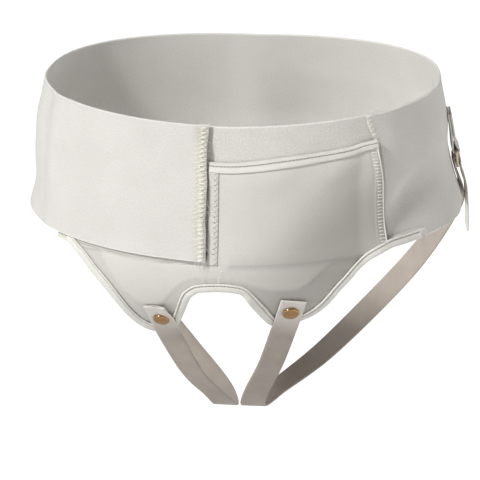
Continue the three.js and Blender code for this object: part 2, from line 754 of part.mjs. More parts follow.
// Three-bar slide: a flat frame with a large window for the tab and strap, and a small one.
function slide(side) {
  const hip = hipPlace(side);
  const windowWidth = strapWidth + 4 * gap;
  const width = windowWidth + 2 * slideBar;
  const top = slideBar / 2;
  const bottom = bottomBar - slideBar / 2;
  const shape = roundedRectangle(THREE.Shape, width, top - bottom, (top + bottom) / 2, slideBar);
  const large = -(slideBar + slideWindow) / 2;
  const small = middleBar - (slideBar + slideSmallWindow) / 2;
  shape.holes.push(roundedRectangle(THREE.Path, windowWidth, slideWindow, large, slideBar / 3));
  shape.holes.push(roundedRectangle(THREE.Path, windowWidth, slideSmallWindow, small, slideBar / 3));
  const bevel = slideThick * 0.2;
  const geometry = new THREE.ExtrudeGeometry(shape, {
    depth: slideThick - 2 * bevel,
    bevelSize: bevel,
    bevelOffset: -bevel,
    bevelThickness: bevel,
    bevelSegments: 1,
    curveSegments: 3,
  });
  geometry.translate(0, 0, bevel - slideThick / 2);
  const basis = new THREE.Matrix4().makeBasis(hip.wide, hip.up, hip.wide.clone().cross(hip.up));
  return geometry.applyMatrix4(basis.setPosition(hip.point(0, barLift)));
}

// A turned piece whose axis goes through the strap at its snap, starting at a height above the
// strap's middle.
function onSnap(side, profile, height) {
  const { route, snapIndex } = strapPath(side);
  const { out } = webbingFrame(route, snapIndex);
  if (out.y > 0) out.negate();
  const points = profile.map(([r, h]) => new THREE.Vector2(r, h));
  const geometry = new THREE.LatheGeometry(points, snapSides);
  const turn = new THREE.Quaternion().setFromUnitVectors(new THREE.Vector3(0, 1, 0), out);
  const seat = route[snapIndex].position.clone().addScaledVector(out, height);
  return geometry.applyMatrix4(new THREE.Matrix4().makeRotationFromQuaternion(turn).setPosition(seat));
}

function snapCap(side) {
  const profile = capRows.map((row) => [(row.out * snapWidth) / 2, row.up * snapHeight]);
  return onSnap(side, profile, strapThick / 2 + gap);
}

function snapStud(side) {
  const radius = studWidth / 2;
  const top = -strapThick / 2 - clothGap;
  const bottom = panelLift + clothThick + clothGap - strapLift;
  return onSnap(side, [[0, bottom - top], [radius, bottom - top], [radius, 0], [0, 0]], top);
}

const finishes = {
  elastic: { color: 0xe6e3e0, roughness: 0.85, metalness: 0 },
  loop: { color: 0xdad6d1, roughness: 0.9, metalness: 0 },
  cloth: { color: 0xcfcbc7, roughness: 0.9, metalness: 0 },
  tape: { color: 0xebe8e3, roughness: 0.8, metalness: 0 },
  strap: { color: 0xc3bab4, roughness: 0.85, metalness: 0 },
  nickel: { color: 0xc9bfae, roughness: 0.25, metalness: 1 },
};

const belt = new THREE.Group();

function add(name, geometry, finish) {
  const mesh = new THREE.Mesh(geometry, new THREE.MeshStandardMaterial(finishes[finish]));
  mesh.name = name;
  belt.add(mesh);
}

add('waist_band', waistBand(), 'elastic');
add('landing_band', landingBand(), 'loop');
add('hook_patch', hookPatch(), 'loop');
add('front_panel', frontPanel(), 'cloth');
add('inner_ply', innerPly(), 'cloth');
add('pocket_binding', pocketTape(), 'tape');
add('leg_binding_right', legTape(tapeThick * 2 - panelReach, lobeMiddle.right - tapeMeet, gap), 'tape');
add('leg_binding_left', legTape(lobeMiddle.left + tapeMeet, bindingReach), 'tape');
add('arch_binding', archTape(), 'tape');
for (const [word, side] of [['left', 1], ['right', -1]]) {
  add(`leg_strap_${word}`, webbing(strapPath(side).route, strapWidth, strapThick), 'strap');
  add(`snap_cap_${word}`, snapCap(side), 'nickel');
  add(`snap_stud_${word}`, snapStud(side), 'nickel');
  add(`hip_tab_${word}`, hipTab(side), 'strap');
  add(`slide_${word}`, slide(side), 'nickel');
}

export default belt;
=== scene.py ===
import math

import bmesh
import bpy
import numpy as np
from mathutils import Matrix, Vector


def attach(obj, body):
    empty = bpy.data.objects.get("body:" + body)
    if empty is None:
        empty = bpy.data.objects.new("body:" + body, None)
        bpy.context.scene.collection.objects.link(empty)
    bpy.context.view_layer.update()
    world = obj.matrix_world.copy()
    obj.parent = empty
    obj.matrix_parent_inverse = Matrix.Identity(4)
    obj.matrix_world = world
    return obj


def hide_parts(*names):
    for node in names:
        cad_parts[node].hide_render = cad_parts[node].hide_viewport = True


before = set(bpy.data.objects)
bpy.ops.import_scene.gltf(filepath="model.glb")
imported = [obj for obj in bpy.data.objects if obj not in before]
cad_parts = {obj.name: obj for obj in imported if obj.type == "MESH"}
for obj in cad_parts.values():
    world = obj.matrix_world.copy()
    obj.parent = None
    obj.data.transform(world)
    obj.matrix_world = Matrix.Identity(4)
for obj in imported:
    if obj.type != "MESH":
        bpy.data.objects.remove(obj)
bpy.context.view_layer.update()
print("frame loaded:", len(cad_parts), "nodes")

# Worn hernia belt. Shapes are worked out in millimetres in the frame's own axes (+X the wearer's
# left, -Y the front, +Z up) and written to the meshes in metres.
mm = 0.001
rng = np.random.default_rng(11)


# Body form under the belt

form = {
    "hipWidth": 340, "waistWidth": 313,      # across the band's lower and upper edge
    "hipFront": 117, "waistFront": 113,      # axis to front
    "hipBack": 122, "waistBack": 101,        # axis to back
    "frontRound": 1.85, "backRound": 2.5,    # superellipse powers
    "tilt": 14.7,                            # the front sits lower
    "height": 102,                           # the band's height
    "foldLift": 4.5,
    # degrees round from the front, share of the height, degrees, share of the height, share of foldLift
    "folds": [
        (-88, 0.7, 30, 0.3, 0.55), (-88, 0.18, 30, 0.16, -0.6), (96, 1, 30, 0.22, -0.6),
        (96, 0.42, 28, 0.25, -0.7), (96, 0, 30, 0.2, 0.75), (158, 0.1, 26, 0.5, 1.2),
        (-158, 0.1, 26, 0.5, 1.2), (180, 0.3, 14, 0.6, -1),
    ],
    "tuckTop": 8, "tuckMiddle": 60, "tuckSide": 40,   # lean of the cloth below the band, degrees
    "tuckLength": 52, "tuckSideAt": 120, "tuckInward": 0.45,
}

# Broad soft dents that every layer follows: distance round from the middle of the front, height,
# long and short half width, turn in degrees, depth.
softDents = [
    (-96, 60, 46, 13, -16, -1.3),
    (-70, 36, 50, 12, -12, 1.7),
    (-110, 82, 40, 14, -14, 1.2),
    (-60, 12, 46, 9, -6, -1.1),
    (178, 40, 14, 14, 32, -1.2),
    (146, 76, 26, 12, 10, 0.8),
    (38, 62, 34, 18, 22, 3.4),
    (86, 64, 26, 12, 26, 2.6),
    (136, 38, 34, 24, 18, -2.6),
    (161, 27, 34, 15, 20, -4.2),
    (156, 35, 20, 10, 32, -2.6),
    (60, 18, 40, 9, 10, 0.7),
    (-225, 70, 60, 10, 8, 0.7),
    (-250, 32, 60, 12, -6, -0.7),
    (255, 64, 50, 10, 6, 0.8),
    (300, 30, 70, 11, -5, 0.9),
    (390, 66, 60, 10, 3, -0.8),
    (440, 30, 60, 12, 4, 0.8),
]


# t * t * (3 - 2 t), t being how far x has come from low to high
def smooth(x, low, high):
    t = np.clip((x - low) / (high - low), 0, 1)
    return t * t * (3 - 2 * t)


# Blend of two values by a share
def mix(a, b, share):
    return a + (b - a) * share


# Vector of length one
def unit(v):
    return v / np.maximum(np.linalg.norm(v, axis=-1, keepdims=True), 1e-12)


# Length travelled from the first of some points to each
def lengthsAlong(points):
    return np.append(0, np.cumsum(np.linalg.norm(np.diff(points, axis=0), axis=1)))


# Three-part rows read at places between their stations
def rowsAt(at, stations, rows):
    return np.stack([np.interp(at, stations, rows[:, k]) for k in range(3)], -1)


# Smooth curve through (position, value) rows: cubic pieces whose slope at a row is the harmonic
# mean of the slopes beside it, so that the curve never overshoots
def curveThrough(rows):
    x, y = np.array(rows, float).T
    step = np.diff(y) / np.diff(x)
    before, after = np.append(step[:1], step), np.append(step, step[-1:])
    total = np.where(before + after == 0, 1, before + after)
    slope = np.where(before * after > 0, 2 * before * after / total, 0)

    def curve(position):
        p = np.clip(position, x[0], x[-1])
        i = np.clip(np.searchsorted(x, p) - 1, 0, len(x) - 2)
        span = x[i + 1] - x[i]
        s = (p - x[i]) / span
        bend = slope[i] * span * (1 - s) - slope[i + 1] * span * s
        return y[i] + (y[i + 1] - y[i]) * s * s * (3 - 2 * s) + s * (1 - s) * bend

    return curve


# Sum of bells in angle and height
def foldHeight(folds, angle, up):
    total = 0
    for at, middle, wide, tall, lift in folds:
        side = np.arccos(np.clip(np.cos(angle - math.radians(at)), -1, 1)) / math.radians(wide)
        total = total + lift * form["foldLift"] * np.exp(-side ** 2 - ((up - middle) / tall) ** 2)
    return total


# Radius of a superellipse whose width and depth change from hip to waist:
# (|sin a / width| ^ n + |cos a / depth| ^ n) ^ (-1 / n)
def bodyRadius(angle, up):
    facing = np.cos(angle)
    front = facing > 0
    width = mix(form["hipWidth"], form["waistWidth"], up) / 2
    depth = np.where(front, mix(form["hipFront"], form["waistFront"], up),
                     mix(form["hipBack"], form["waistBack"], up))
    power = np.where(front, form["frontRound"], form["backRound"])
    return (np.abs(np.sin(angle) / width) ** power + np.abs(facing / depth) ** power) ** (-1 / power)


# Lengths round the lower edge, summed in small steps, turn distances into angles
tiltSlope = math.tan(math.radians(form["tilt"]))
ringAngles = np.linspace(0, 2 * np.pi, 721)
ringReach = bodyRadius(ringAngles, 0 * ringAngles)
ringEdge = np.stack([ringReach * np.sin(ringAngles), -ringReach * np.cos(ringAngles),
                     -ringReach * np.cos(ringAngles) * tiltSlope], -1)
ringLengths = lengthsAlong(ringEdge)
ringLength = ringLengths[-1]


def angleAt(along):
    turns = np.floor(along / ringLength)
    return 2 * np.pi * turns + np.interp(along - turns * ringLength, ringLengths, ringAngles)


# Sum of turned bells over the flat cloth: depth * exp(-(a / long)^2 - (b / short)^2)
def softRelief(along, height):
    near = (along + ringLength / 2) % ringLength - ringLength / 2
    total = 0 * near
    for at, middle, long, short, turn, depth in softDents:
        away = (near - at + ringLength / 2) % ringLength - ringLength / 2
        c, s = math.cos(math.radians(turn)), math.sin(math.radians(turn))
        a = away * c + (height - middle) * s
        b = (height - middle) * c - away * s
        total = total + depth * np.exp(-(a / long) ** 2 - (b / short) ** 2)
    return total


# Point at an angle and a share of the height: radius of the form, its folds and the lift
def ringPoint(angle, up, lift):
    reach = bodyRadius(angle, up) + foldHeight(form["folds"], angle, up) + lift
    y = -reach * np.cos(angle)
    return np.stack([reach * np.sin(angle), y, form["height"] * (up - 0.5) + y * tiltSlope], -1)


# Point on the band: along its lower edge, height in millimetres, lift above the form
def bandPoint(along, height, lift):
    return ringPoint(angleAt(along), height / form["height"], lift + softRelief(along, height))


# Below the band the cloth leans under along an arc: the lean grows evenly from tuckTop to
# tuckMiddle or tuckSide over tuckLength, then stays
def tuckedPoint(along, down):
    angle = angleAt(along)
    edge, ahead = ringPoint(angle, 0 * angle, 0), ringPoint(angle + 0.01, 0 * angle, 0)
    out = unit(np.stack([ahead[..., 1] - edge[..., 1], edge[..., 0] - ahead[..., 0]], -1))
    inward = unit(np.stack([-form["tuckInward"] * out[..., 0], -out[..., 1]], -1))
    start = math.radians(form["tuckTop"])
    side = smooth(np.abs(along), 0, form["tuckSideAt"])
    turn = (np.radians(mix(form["tuckMiddle"], form["tuckSide"], side)) - start) / form["tuckLength"]
    bent = np.clip(down, 0, form["tuckLength"])
    end = start + turn * bent
    inBy = (math.cos(start) - np.cos(end)) / turn + (down - bent) * np.sin(end)
    downBy = (np.sin(end) - math.sin(start)) / turn + (down - bent) * np.cos(end)
    flat = edge[..., :2] + inward * inBy[..., None]
    return np.concatenate([flat, (edge[..., 2] - downBy)[..., None]], -1)


def tuckedNormal(along, down):
    step = 2
    across = tuckedPoint(along + step, down) - tuckedPoint(along - step, down)
    below = tuckedPoint(along, down + step) - tuckedPoint(along, np.maximum(0, down - step))
    return unit(np.cross(below, across))


# Point on the front cloth: along the lower edge, down from it (negative is up on the band)
def clothPoint(along, down, lift):
    along, down, lift = np.broadcast_arrays(along, down, lift)
    along, down = along.astype(float), down.astype(float)
    angle = angleAt(along)
    lift = lift + softRelief(along, -down)
    onBand = ringPoint(angle, np.maximum(0, -down) / form["height"], lift)
    below = np.maximum(down, 0)
    bandOut = ringPoint(angle, 0 * angle, 1) - ringPoint(angle, 0 * angle, 0)
    share = smooth(below, 0, front["lap"] * 2)[..., None]
    tucked = tuckedPoint(along, below) + mix(bandOut, tuckedNormal(along, below), share) * lift[..., None]
    return np.where((down <= 0)[..., None], onBand, tucked)


# Sizes of the band and the layers under its free end

band = {
    "thick": 1.8, "seamAt": 124, "seamLap": 10, "freeEndAt": 9, "freeEndLift": 0.8, "cornerSink": 2.4,
    "freeEndRise": 2.5, "endRiseLength": 26, "ease": 30, "lapClear": 4, "selvedge": 1.8,
    "slant": 8, "slantFrom": 74, "slantLength": 26, "pitch": 2.6, "rowPitch": 2.6,
    "finePitch": 0.7, "fineLength": 8,       # closer columns next to the seam
    "seamFlat": 4, "seamSink": 0.5, "seamThin": 0.45,
    "corner": (83, 93), "endRow": 9.5, "wavers": 6, "cornerLength": 12,
    "waver": [(0.35, 7.3, 0), (0.2, 3.1, 1)],           # the cut end's waves: size, pitch, shift
    "strip": (10, 8), "woven": (0.6, 1.5),   # creamier strip, firm woven edge: from, to
    "shade": 0.75, "shadeEnds": (4.4, 6.4), "shadeLow": 6, "shadeTop": (78, 84),
    "endFolds": [(-32, 0.42, 16, 0.09, 0.3), (-36, 0.62, 20, 0.08, 0.24), (-58, 0.2, 14, 0.12, 0.3)],
}
landing = {
    "thick": 1.6, "left": 146, "sag": 3.5, "sagEnds": (14, 34), "sagRows": (10, 50),
    "peek": 5, "peekEnds": (-128, -76), "strip": (-130, -100),
}
hook = {"width": 110, "margin": 12, "pitch": 5, "rim": 0.8}
clearance = {"hard": 0.3, "cloth": 0.55}

front = {
    "thick": 1.2, "plyThick": 1.2, "reach": 134, "bindingReach": 162, "lobeDrop": 82, "lap": 8,
    "settle": 26, "seamClimb": 16, "seamClear": 2, "pocketLeft": 8.2, "pocketRight": 127,
    "pocketHeight": 77, "lean": 6, "plyTop": 0.8, "plyLeast": 3,
    # share of the reach, share of the lobe's drop
    "outline": [
        (-1, 0.01), (-0.882, 0.16), (-0.822, 0.268), (-0.765, 0.36), (-0.715, 0.47), (-0.673, 0.605),
        (-0.635, 0.75), (-0.585, 0.878), (-0.525, 0.965), (-0.46, 1.005), (-0.4, 1), (-0.36, 0.975),
        (-0.327, 0.91), (-0.28, 0.77), (-0.212, 0.51), (-0.166, 0.36), (-0.11, 0.3), (0.01, 0.28),
        (0.11, 0.3), (0.178, 0.48), (0.233, 0.67), (0.275, 0.8), (0.33, 0.84), (0.38, 0.84),
        (0.43, 0.775), (0.477, 0.7), (0.535, 0.63), (0.592, 0.55), (0.647, 0.445), (0.7, 0.33),
        (0.758, 0.23), (0.812, 0.13), (0.867, 0.05), (0.93, 0.005), (1, -0.015), (1.32, -0.015),
    ],
    "lobeMeet": (-0.425, 0.355),             # wearer's right, left
    # share of pocketRight, share of pocketHeight
    "mouth": [(-0.1, 1), (0.03, 0.992), (0.41, 1.04), (0.79, 1.06), (0.94, 1.085), (1.05, 1.095)],
    "ply": [
        (-0.72, 0.04), (-0.68, 0.19), (-0.585, 0.41), (-0.5, 0.52), (-0.4, 0.53), (-0.29, 0.34),
        (-0.2, 0.2), (-0.1, 0.15), (0.1, 0.17), (0.2, 0.22), (0.3, 0.265), (0.42, 0.275),
        (0.485, 0.24), (0.54, 0.165), (0.59, 0.095), (0.645, 0.035),
    ],
}
tape = {"width": 6.5, "thick": 1, "pocketWidth": 7.2, "legRight": 10.2, "legLeft": 7.2, "arch": 7.8}

panelLift = landing["thick"] + clearance["cloth"]
tapeTop = panelLift + front["thick"] + clearance["cloth"] + tape["thick"]
freeEndBase = tapeTop + clearance["cloth"]
outlineDrop = curveThrough([(a * front["reach"], d * front["lobeDrop"]) for a, d in front["outline"]])
plyDrop = curveThrough([(a * front["reach"], d * front["lobeDrop"]) for a, d in front["ply"]])
mouthUp = curveThrough([(a * front["pocketRight"], u * front["pocketHeight"]) for a, u in front["mouth"]])
lobeMiddle = [share * front["reach"] for share in front["lobeMeet"]]
freeEnd = ringLength - band["freeEndAt"]


# exp(-((x - middle) / wide)^2)
def bell(x, middle, wide):
    return np.exp(-((x - middle) / wide) ** 2)


# 1 from the second place to the third, 0 beyond the first and the fourth
def within(x, ends):
    return smooth(x, ends[0], ends[1]) * (1 - smooth(x, ends[2], ends[3]))


# Share of the way from low to high, given as a pair measured from a start
def between(x, ends, start=0):
    return smooth(x, start + ends[0], start + ends[1])


# Share of the way up onto the landing band's hidden end
def lapShare(along):
    up = ringLength - landing["left"] - band["lapClear"]
    return smooth(along, up - band["ease"], up)


# Lift of the band's inner face: down from the seam, level round the back, up over the closure
def bandLift(along):
    start = band["seamAt"] + band["seamLap"]
    seam = 1 - smooth(along, start, start + band["ease"])
    end = smooth(along, freeEnd - band["endRiseLength"], freeEnd)
    return panelLift * seam + freeEndBase * lapShare(along) + band["freeEndLift"] * end


# Lift of the front panel's inner face: flat on the landing band, higher at the pocket's mouth
# and over the seam, level again below the band
def panelBase(along, down):
    room = tape["thick"] + clearance["cloth"]
    mouth = mouthUp(along)
    nearMouth = smooth(-down, mouth - tape["pocketWidth"] * 4, mouth - tape["pocketWidth"])
    over = bandLift(np.maximum(along, band["seamAt"])) + band["thick"] + clearance["cloth"] + room
    seamStart = band["seamAt"] - front["seamClear"]
    climb = smooth(along, seamStart - front["seamClimb"], seamStart)
    return mix(mix(panelLift + room * nearMouth, over, climb), panelLift, smooth(down, 0, front["settle"]))


# The pocket's right side leans in towards its mouth
def pocketLean(along, down):
    share = smooth(-down, 46, 84) * smooth(along, 92, front["pocketRight"])
    return along - front["lean"] * share


# Mesh tools

# Positions from stop to stop with extra ones a short way inside each, for rounded edges
def spread(stops, pitch, rim):
    places = []
    for low, high in zip(stops[:-1], stops[1:]):
        count = max(1, round((high - low - 2 * rim) / pitch))
        inner = np.linspace(low + rim, high - rim, count + 1)
        places += [low, low + 0.12 * rim, low + 0.45 * rim, *inner, high - 0.45 * rim, high - 0.12 * rim]
    return np.array(places + [stops[-1]])


# Mesh object from points in millimetres and quads, faces turned outwards by its signed volume
def makePiece(name, points, quads, uv=None, shade=None):
    a, b, c, d = (points[quads[:, k]] for k in range(4))
    volume = np.sum(a * np.cross(b, c)) + np.sum(a * np.cross(c, d))
    quads = quads if volume > 0 else quads[:, ::-1]
    mesh = bpy.data.meshes.new(name)
    mesh.from_pydata((points * mm).tolist(), [], quads.tolist())
    mesh.polygons.foreach_set("use_smooth", np.ones(len(quads), bool))
    if uv is not None:
        layer = mesh.uv_layers.new(name="flat")
        layer.data.foreach_set("uv", (uv[quads.ravel()] * mm).astype(np.float32).ravel())
    for key, values in (shade or {}).items():
        attribute = mesh.attributes.new(key, "FLOAT", "POINT")
        attribute.data.foreach_set("value", values.astype(np.float32))
    mesh.update()
    piece = bpy.data.objects.new(name, mesh)
    bpy.context.collection.objects.link(piece)
    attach(piece, "root")
    return piece


# Several (points, quads, uv) bodies as one
def joinBodies(bodies):
    points, quads, uvs, start = [], [], [], 0
    for p, q, uv in bodies:
        points.append(p)
        quads.append(q + start)
        uvs.append(uv)
        start += len(p)
    return np.concatenate(points), np.concatenate(quads), np.concatenate(uvs)


# Closed cloth wall over a grid of flat places. The two faces lie at plus and minus
# thick / 2 * sqrt(1 - (1 - d / r)^2), d being the distance to the cloth's edge and r the rim, and
# meet in the edge itself, which makes it round
def clothWall(U, V, place, thick, keep=None, rim=None):
    rim = rim or thick / 2
    cells = np.ones((U.shape[0] - 1, U.shape[1] - 1), bool) if keep is None else keep
    ring = np.zeros((U.shape[0] + 1, U.shape[1] + 1), bool)
    ring[1:-1, 1:-1] = cells
    around = np.stack([ring[:-1, :-1], ring[1:, :-1], ring[:-1, 1:], ring[1:, 1:]])
    used, border = around.any(0), around.any(0) & ~around.all(0)
    near = border.copy()
    for _ in range(4):
        grown = np.pad(near, 1)
        near = grown[1:-1, 1:-1] | grown[:-2, 1:-1] | grown[2:, 1:-1] | grown[1:-1, :-2] | grown[1:-1, 2:]
    near &= used & ~border
    distance = np.full(U.shape, rim * 2)
    flatEdge = np.stack([U[border], V[border]], -1)
    flatNear = np.stack([U[near], V[near]], -1)
    found = [np.sqrt(((part[:, None] - flatEdge[None]) ** 2).sum(-1)).min(1)
             for part in np.array_split(flatNear, max(1, len(flatNear) // 500))]
    distance[near] = np.concatenate(found)
    distance[border] = 0
    half = thick / 2 * np.sqrt(1 - np.clip(1 - distance / rim, 0, 1) ** 2)
    outer = np.full(U.shape, -1)
    outer[used] = np.arange(used.sum())
    inner = outer.copy()
    free = used & ~border
    inner[free] = used.sum() + np.arange(free.sum())
    points = np.concatenate([place(U, V, half)[used], place(U, V, -half)[free]])
    flat = np.stack([U, V], -1)
    i, j = np.nonzero(cells)
    quads = np.concatenate([
        np.stack([outer[i, j], outer[i + 1, j], outer[i + 1, j + 1], outer[i, j + 1]], -1),
        np.stack([inner[i, j], inner[i, j + 1], inner[i + 1, j + 1], inner[i + 1, j]], -1)])
    return points, quads, np.concatenate([flat[used], flat[free]])


# Numbers of the points of stacked rings, and the quads that join each ring to the next
def ringIndex(count, corners):
    return np.arange(count * corners).reshape(count, corners)


def ringQuads(index):
    after = np.roll(index, -1, 1)
    return np.stack([index[:-1], after[:-1], after[1:], index[1:]], -1).reshape(-1, 4)


# Closed body from sections: rows of points (station, corner) joined round and capped by fans
# of quads between opposite corners
def loft(stations, flat):
    count, corners = stations.shape[:2]
    index = ringIndex(count, corners)
    half = np.arange(corners // 2 - 1)
    caps = [np.stack([ring[half], ring[corners - 1 - half], ring[corners - 2 - half], ring[half + 1]], -1)
            for ring in (index[0], index[-1][::-1])]
    return stations.reshape(-1, 3), np.concatenate([ringQuads(index), *caps]), flat.reshape(-1, 2)


# Thread carried along points: a round section of the given radius, in the plane of the surface
# normal and the sideways direction
def thread(path, normal, radius, sides=6):
    way = unit(np.gradient(path, axis=0))
    out = unit(normal - way * np.sum(normal * way, -1, keepdims=True))
    side = np.cross(way, out)
    turn = np.arange(sides) * 2 * np.pi / sides
    ring = out[:, None] * np.cos(turn)[None, :, None] + side[:, None] * np.sin(turn)[None, :, None]
    taper = np.ones(len(path))
    taper[[0, -1]] = 0.35
    stations = path[:, None] + ring * (radius * taper)[:, None, None]
    length = lengthsAlong(path)
    flat = np.stack(np.broadcast_arrays(length[:, None], turn[None] * radius), -1)
    return loft(stations, flat)


# Zigzag: the thread swings half the width to each side of its line and dips at each end,
# lift * (1 - |2 s - 1|^4) over each stroke
def zigzag(centre, normal, side, width, period, lift, radius, wander=0.12):
    length = lengthsAlong(centre)
    strokes = max(2, round(length[-1] / period * 2))
    s = np.linspace(0, strokes, strokes * 5 + 1)
    swing = 2 * np.abs(s / 2 - np.floor(s / 2 + 0.5)) * 2 - 1
    part = s - np.floor(s)
    rise = lift * (1 - np.abs(2 * part - 1) ** 4) + radius * 0.2
    at = s / strokes * length[-1]
    drift = rng.normal(0, wander * period * 0.3, strokes + 2)
    at = at + drift[np.floor(s).astype(int)] * np.sin(np.pi * part)
    half = width / 2 * (1 + rng.normal(0, wander, strokes + 2)[np.round(s).astype(int)])
    out = unit(rowsAt(at, length, normal))
    across = rowsAt(at, length, side) * (swing * half)[:, None]
    path = rowsAt(at, length, centre) + across + out * rise[:, None]
    return thread(path, out, radius)


# Straight stitches: short threads that dip into the cloth at both ends
def straightStitches(centre, normal, stitch, space, radius, lift=0.15):
    length = lengthsAlong(centre)
    count = int(length[-1] // (stitch + space))
    bodies = []
    part = np.linspace(0, 1, 6)
    for k in range(count):
        at = k * (stitch + space) + part * stitch
        path = rowsAt(at, length, centre)
        out = unit(rowsAt(at, length, normal))
        rise = lift * (1 - (2 * part - 1) ** 4) - radius * 0.5 * np.abs(2 * part - 1) ** 6
        bodies.append(thread(path + out * rise[:, None], out, radius, 5))
    return bodies


# Line over the cloth's outer face with its normal and sideways direction, from flat places
def surfaceLine(place, U, V, lift):
    points = place(U, V, lift + 0 * U)
    e = 0.5
    du = place(U + e, V, lift + 0 * U) - place(U - e, V, lift + 0 * U)
    dv = place(U, V + e, lift + 0 * U) - place(U, V - e, lift + 0 * U)
    normal = unit(np.cross(dv, du))
    facing = np.sum(normal * (place(U, V, lift + 1 + 0 * U) - points), -1, keepdims=True)
    normal = normal * np.sign(facing)
    side = unit(np.cross(unit(np.gradient(points, axis=0)), normal))
    return points, normal, side


# Materials

# Node of one kind with its inputs set from values or other nodes' outputs
def addNode(tree, kind, inputs=None, **settings):
    node = tree.nodes.new(kind)
    for key, value in settings.items():
        setattr(node, key, value)
    for key, value in (inputs or {}).items():
        if isinstance(value, bpy.types.NodeSocket):
            tree.links.new(value, node.inputs[key])
        else:
            node.inputs[key].default_value = value
    return node


def addMath(tree, operation, a, b=0.0):
    return addNode(tree, "ShaderNodeMath", {0: a, 1: b}, operation=operation).outputs[0]


# New material: its tree, its main shader and its surface coordinates in metres
def startMaterial(name, roughness, coordinates="UV", **sockets):
    material = bpy.data.materials.new(name)
    material.use_nodes = True
    tree = material.node_tree
    shader = tree.nodes["Principled BSDF"]
    shader.inputs["Roughness"].default_value = roughness
    for key, value in sockets.items():
        shader.inputs[key.replace("_", " ")].default_value = value
    place = addNode(tree, "ShaderNodeTexCoord").outputs[coordinates]
    return material, tree, shader, place


# Height pattern of a weave: sin(2 pi u / long) * sin(2 pi v / short), with u and v bent by noise
def weaveHeight(tree, place, long, short, waver=0.0003):
    noise = addNode(tree, "ShaderNodeTexNoise", {"Vector": place, "Scale": 300.0, "Detail": 2.0})
    bend = addNode(tree, "ShaderNodeVectorMath", {0: noise.outputs["Color"], "Scale": waver},
                   operation="SCALE").outputs[0]
    bent = addNode(tree, "ShaderNodeVectorMath", {0: place, 1: bend}, operation="ADD").outputs[0]
    axes = addNode(tree, "ShaderNodeSeparateXYZ", {0: bent})
    waves = [addMath(tree, "SINE", addMath(tree, "MULTIPLY", axes.outputs[k], 2 * math.pi / size))
             for k, size in ((0, long), (1, short))]
    return addMath(tree, "MULTIPLY", waves[0], waves[1]), waves


def noiseAt(tree, place, scale, detail):
    settings = {"Vector": place, "Scale": scale, "Detail": detail}
    return addNode(tree, "ShaderNodeTexNoise", settings).outputs["Fac"]


def cellsAt(tree, place, scale, randomness):
    settings = {"Vector": place, "Scale": scale, "Randomness": randomness}
    return addNode(tree, "ShaderNodeTexVoronoi", settings).outputs["Distance"]


# Sum of heights, each times its share
def addHeights(tree, *rows):
    total = None
    for height, share in rows:
        part = addMath(tree, "MULTIPLY", height, share)
        total = part if total is None else addMath(tree, "ADD", total, part)
    return total


# Colour that wanders between two tones with slow noise
def twoTones(tree, place, dark, light, scale, detail=3.0):
    ramp = addNode(tree, "ShaderNodeValToRGB", {"Fac": noiseAt(tree, place, scale, detail)})
    ramp.color_ramp.elements[0].position = 0.35
    ramp.color_ramp.elements[1].position = 0.65
    ramp.color_ramp.elements[0].color = (*dark, 1)
    ramp.color_ramp.elements[1].color = (*light, 1)
    return ramp.outputs["Color"]


def setBump(tree, shader, height, strength, distance):
    bump = addNode(tree, "ShaderNodeBump", {"Height": height, "Strength": strength, "Distance": distance})
    tree.links.new(bump.outputs["Normal"], shader.inputs["Normal"])


# Value of a painted point attribute
def readShare(tree, name):
    return addNode(tree, "ShaderNodeAttribute", attribute_name=name).outputs["Fac"]


# Tones that painted shares mix in: a bright woven edge, and dark tones that are painted shade in creases,
# grooves, beside the pocket's hems, along the band's lower edge and in the pocket's hollow
fabricTones = {
    "edge": (0.92, 0.91, 0.89, 1), "dark": (0.25, 0.235, 0.22, 1), "paintedCreaseShade": (0.3, 0.285, 0.265, 1),
    "bandEdgeShade": (0.58, 0.54, 0.53, 1), "hollow": (0.37, 0.355, 0.33, 1),
}


def mixColor(tree, share, a, b, blend="MIX"):
    node = addNode(tree, "ShaderNodeMix", data_type="RGBA", blend_type=blend)
    for key, value in ((0, share), (6, a), (7, b)):
        if isinstance(value, bpy.types.NodeSocket):
            tree.links.new(value, node.inputs[key])
        else:
            node.inputs[key].default_value = value
    return node.outputs[2]


# Colour changed towards a tone by a painted share times a strength
def tinted(tree, color, share, strength, tone):
    return mixColor(tree, addMath(tree, "MULTIPLY", readShare(tree, share), strength), color, tone)


# Colour changed towards a tone where a wave is high: strength * (wave + 1) / 2
def ribbed(tree, color, wave, strength, tone):
    high = addNode(tree, "ShaderNodeMath", {0: wave, 1: 0.5, 2: 0.5}, operation="MULTIPLY_ADD")
    return mixColor(tree, addMath(tree, "MULTIPLY", high.outputs[0], strength), color, tone)


# Colour times fine light and dark grain
def speckled(tree, place, color, scale, amount):
    ends = {"Value": noiseAt(tree, place, scale, 2.0), "From Min": 0.3, "From Max": 0.7,
            "To Min": 1 - amount, "To Max": 1 + amount * 0.6}
    grain = addNode(tree, "ShaderNodeMapRange", ends)
    return mixColor(tree, 1.0, color, grain.outputs[0], "MULTIPLY")


# Woven elastic: cords along the band, fine cross threads, a faint shade between the cords
def elasticMaterial():
    material, tree, shader, place = startMaterial("elasticWhite", 0.82, Sheen_Weight=0.25,
                                                  Sheen_Roughness=0.5)
    base = twoTones(tree, place, (0.735, 0.715, 0.69), (0.77, 0.75, 0.725), 26.0)
    weave, waves = weaveHeight(tree, place, 0.0011, 0.0009)
    height = addHeights(tree, (weave, 0.25), (waves[1], 0.3), (noiseAt(tree, place, 1500.0, 3.0), 1.0))
    base = ribbed(tree, base, waves[1], 0.18, (0.64, 0.62, 0.6, 1))
    base = tinted(tree, base, "strip", 0.6, (0.76, 0.735, 0.66, 1))
    base = tinted(tree, base, "edge", 1.0, fabricTones["edge"])
    # painted shadow on the band beside the pocket's right edge
    base = tinted(tree, base, "line", 0.7, fabricTones["dark"])
    tree.links.new(speckled(tree, place, base, 850.0, 0.07), shader.inputs["Base Color"])
    setBump(tree, shader, height, 0.5, 0.0003)
    return material


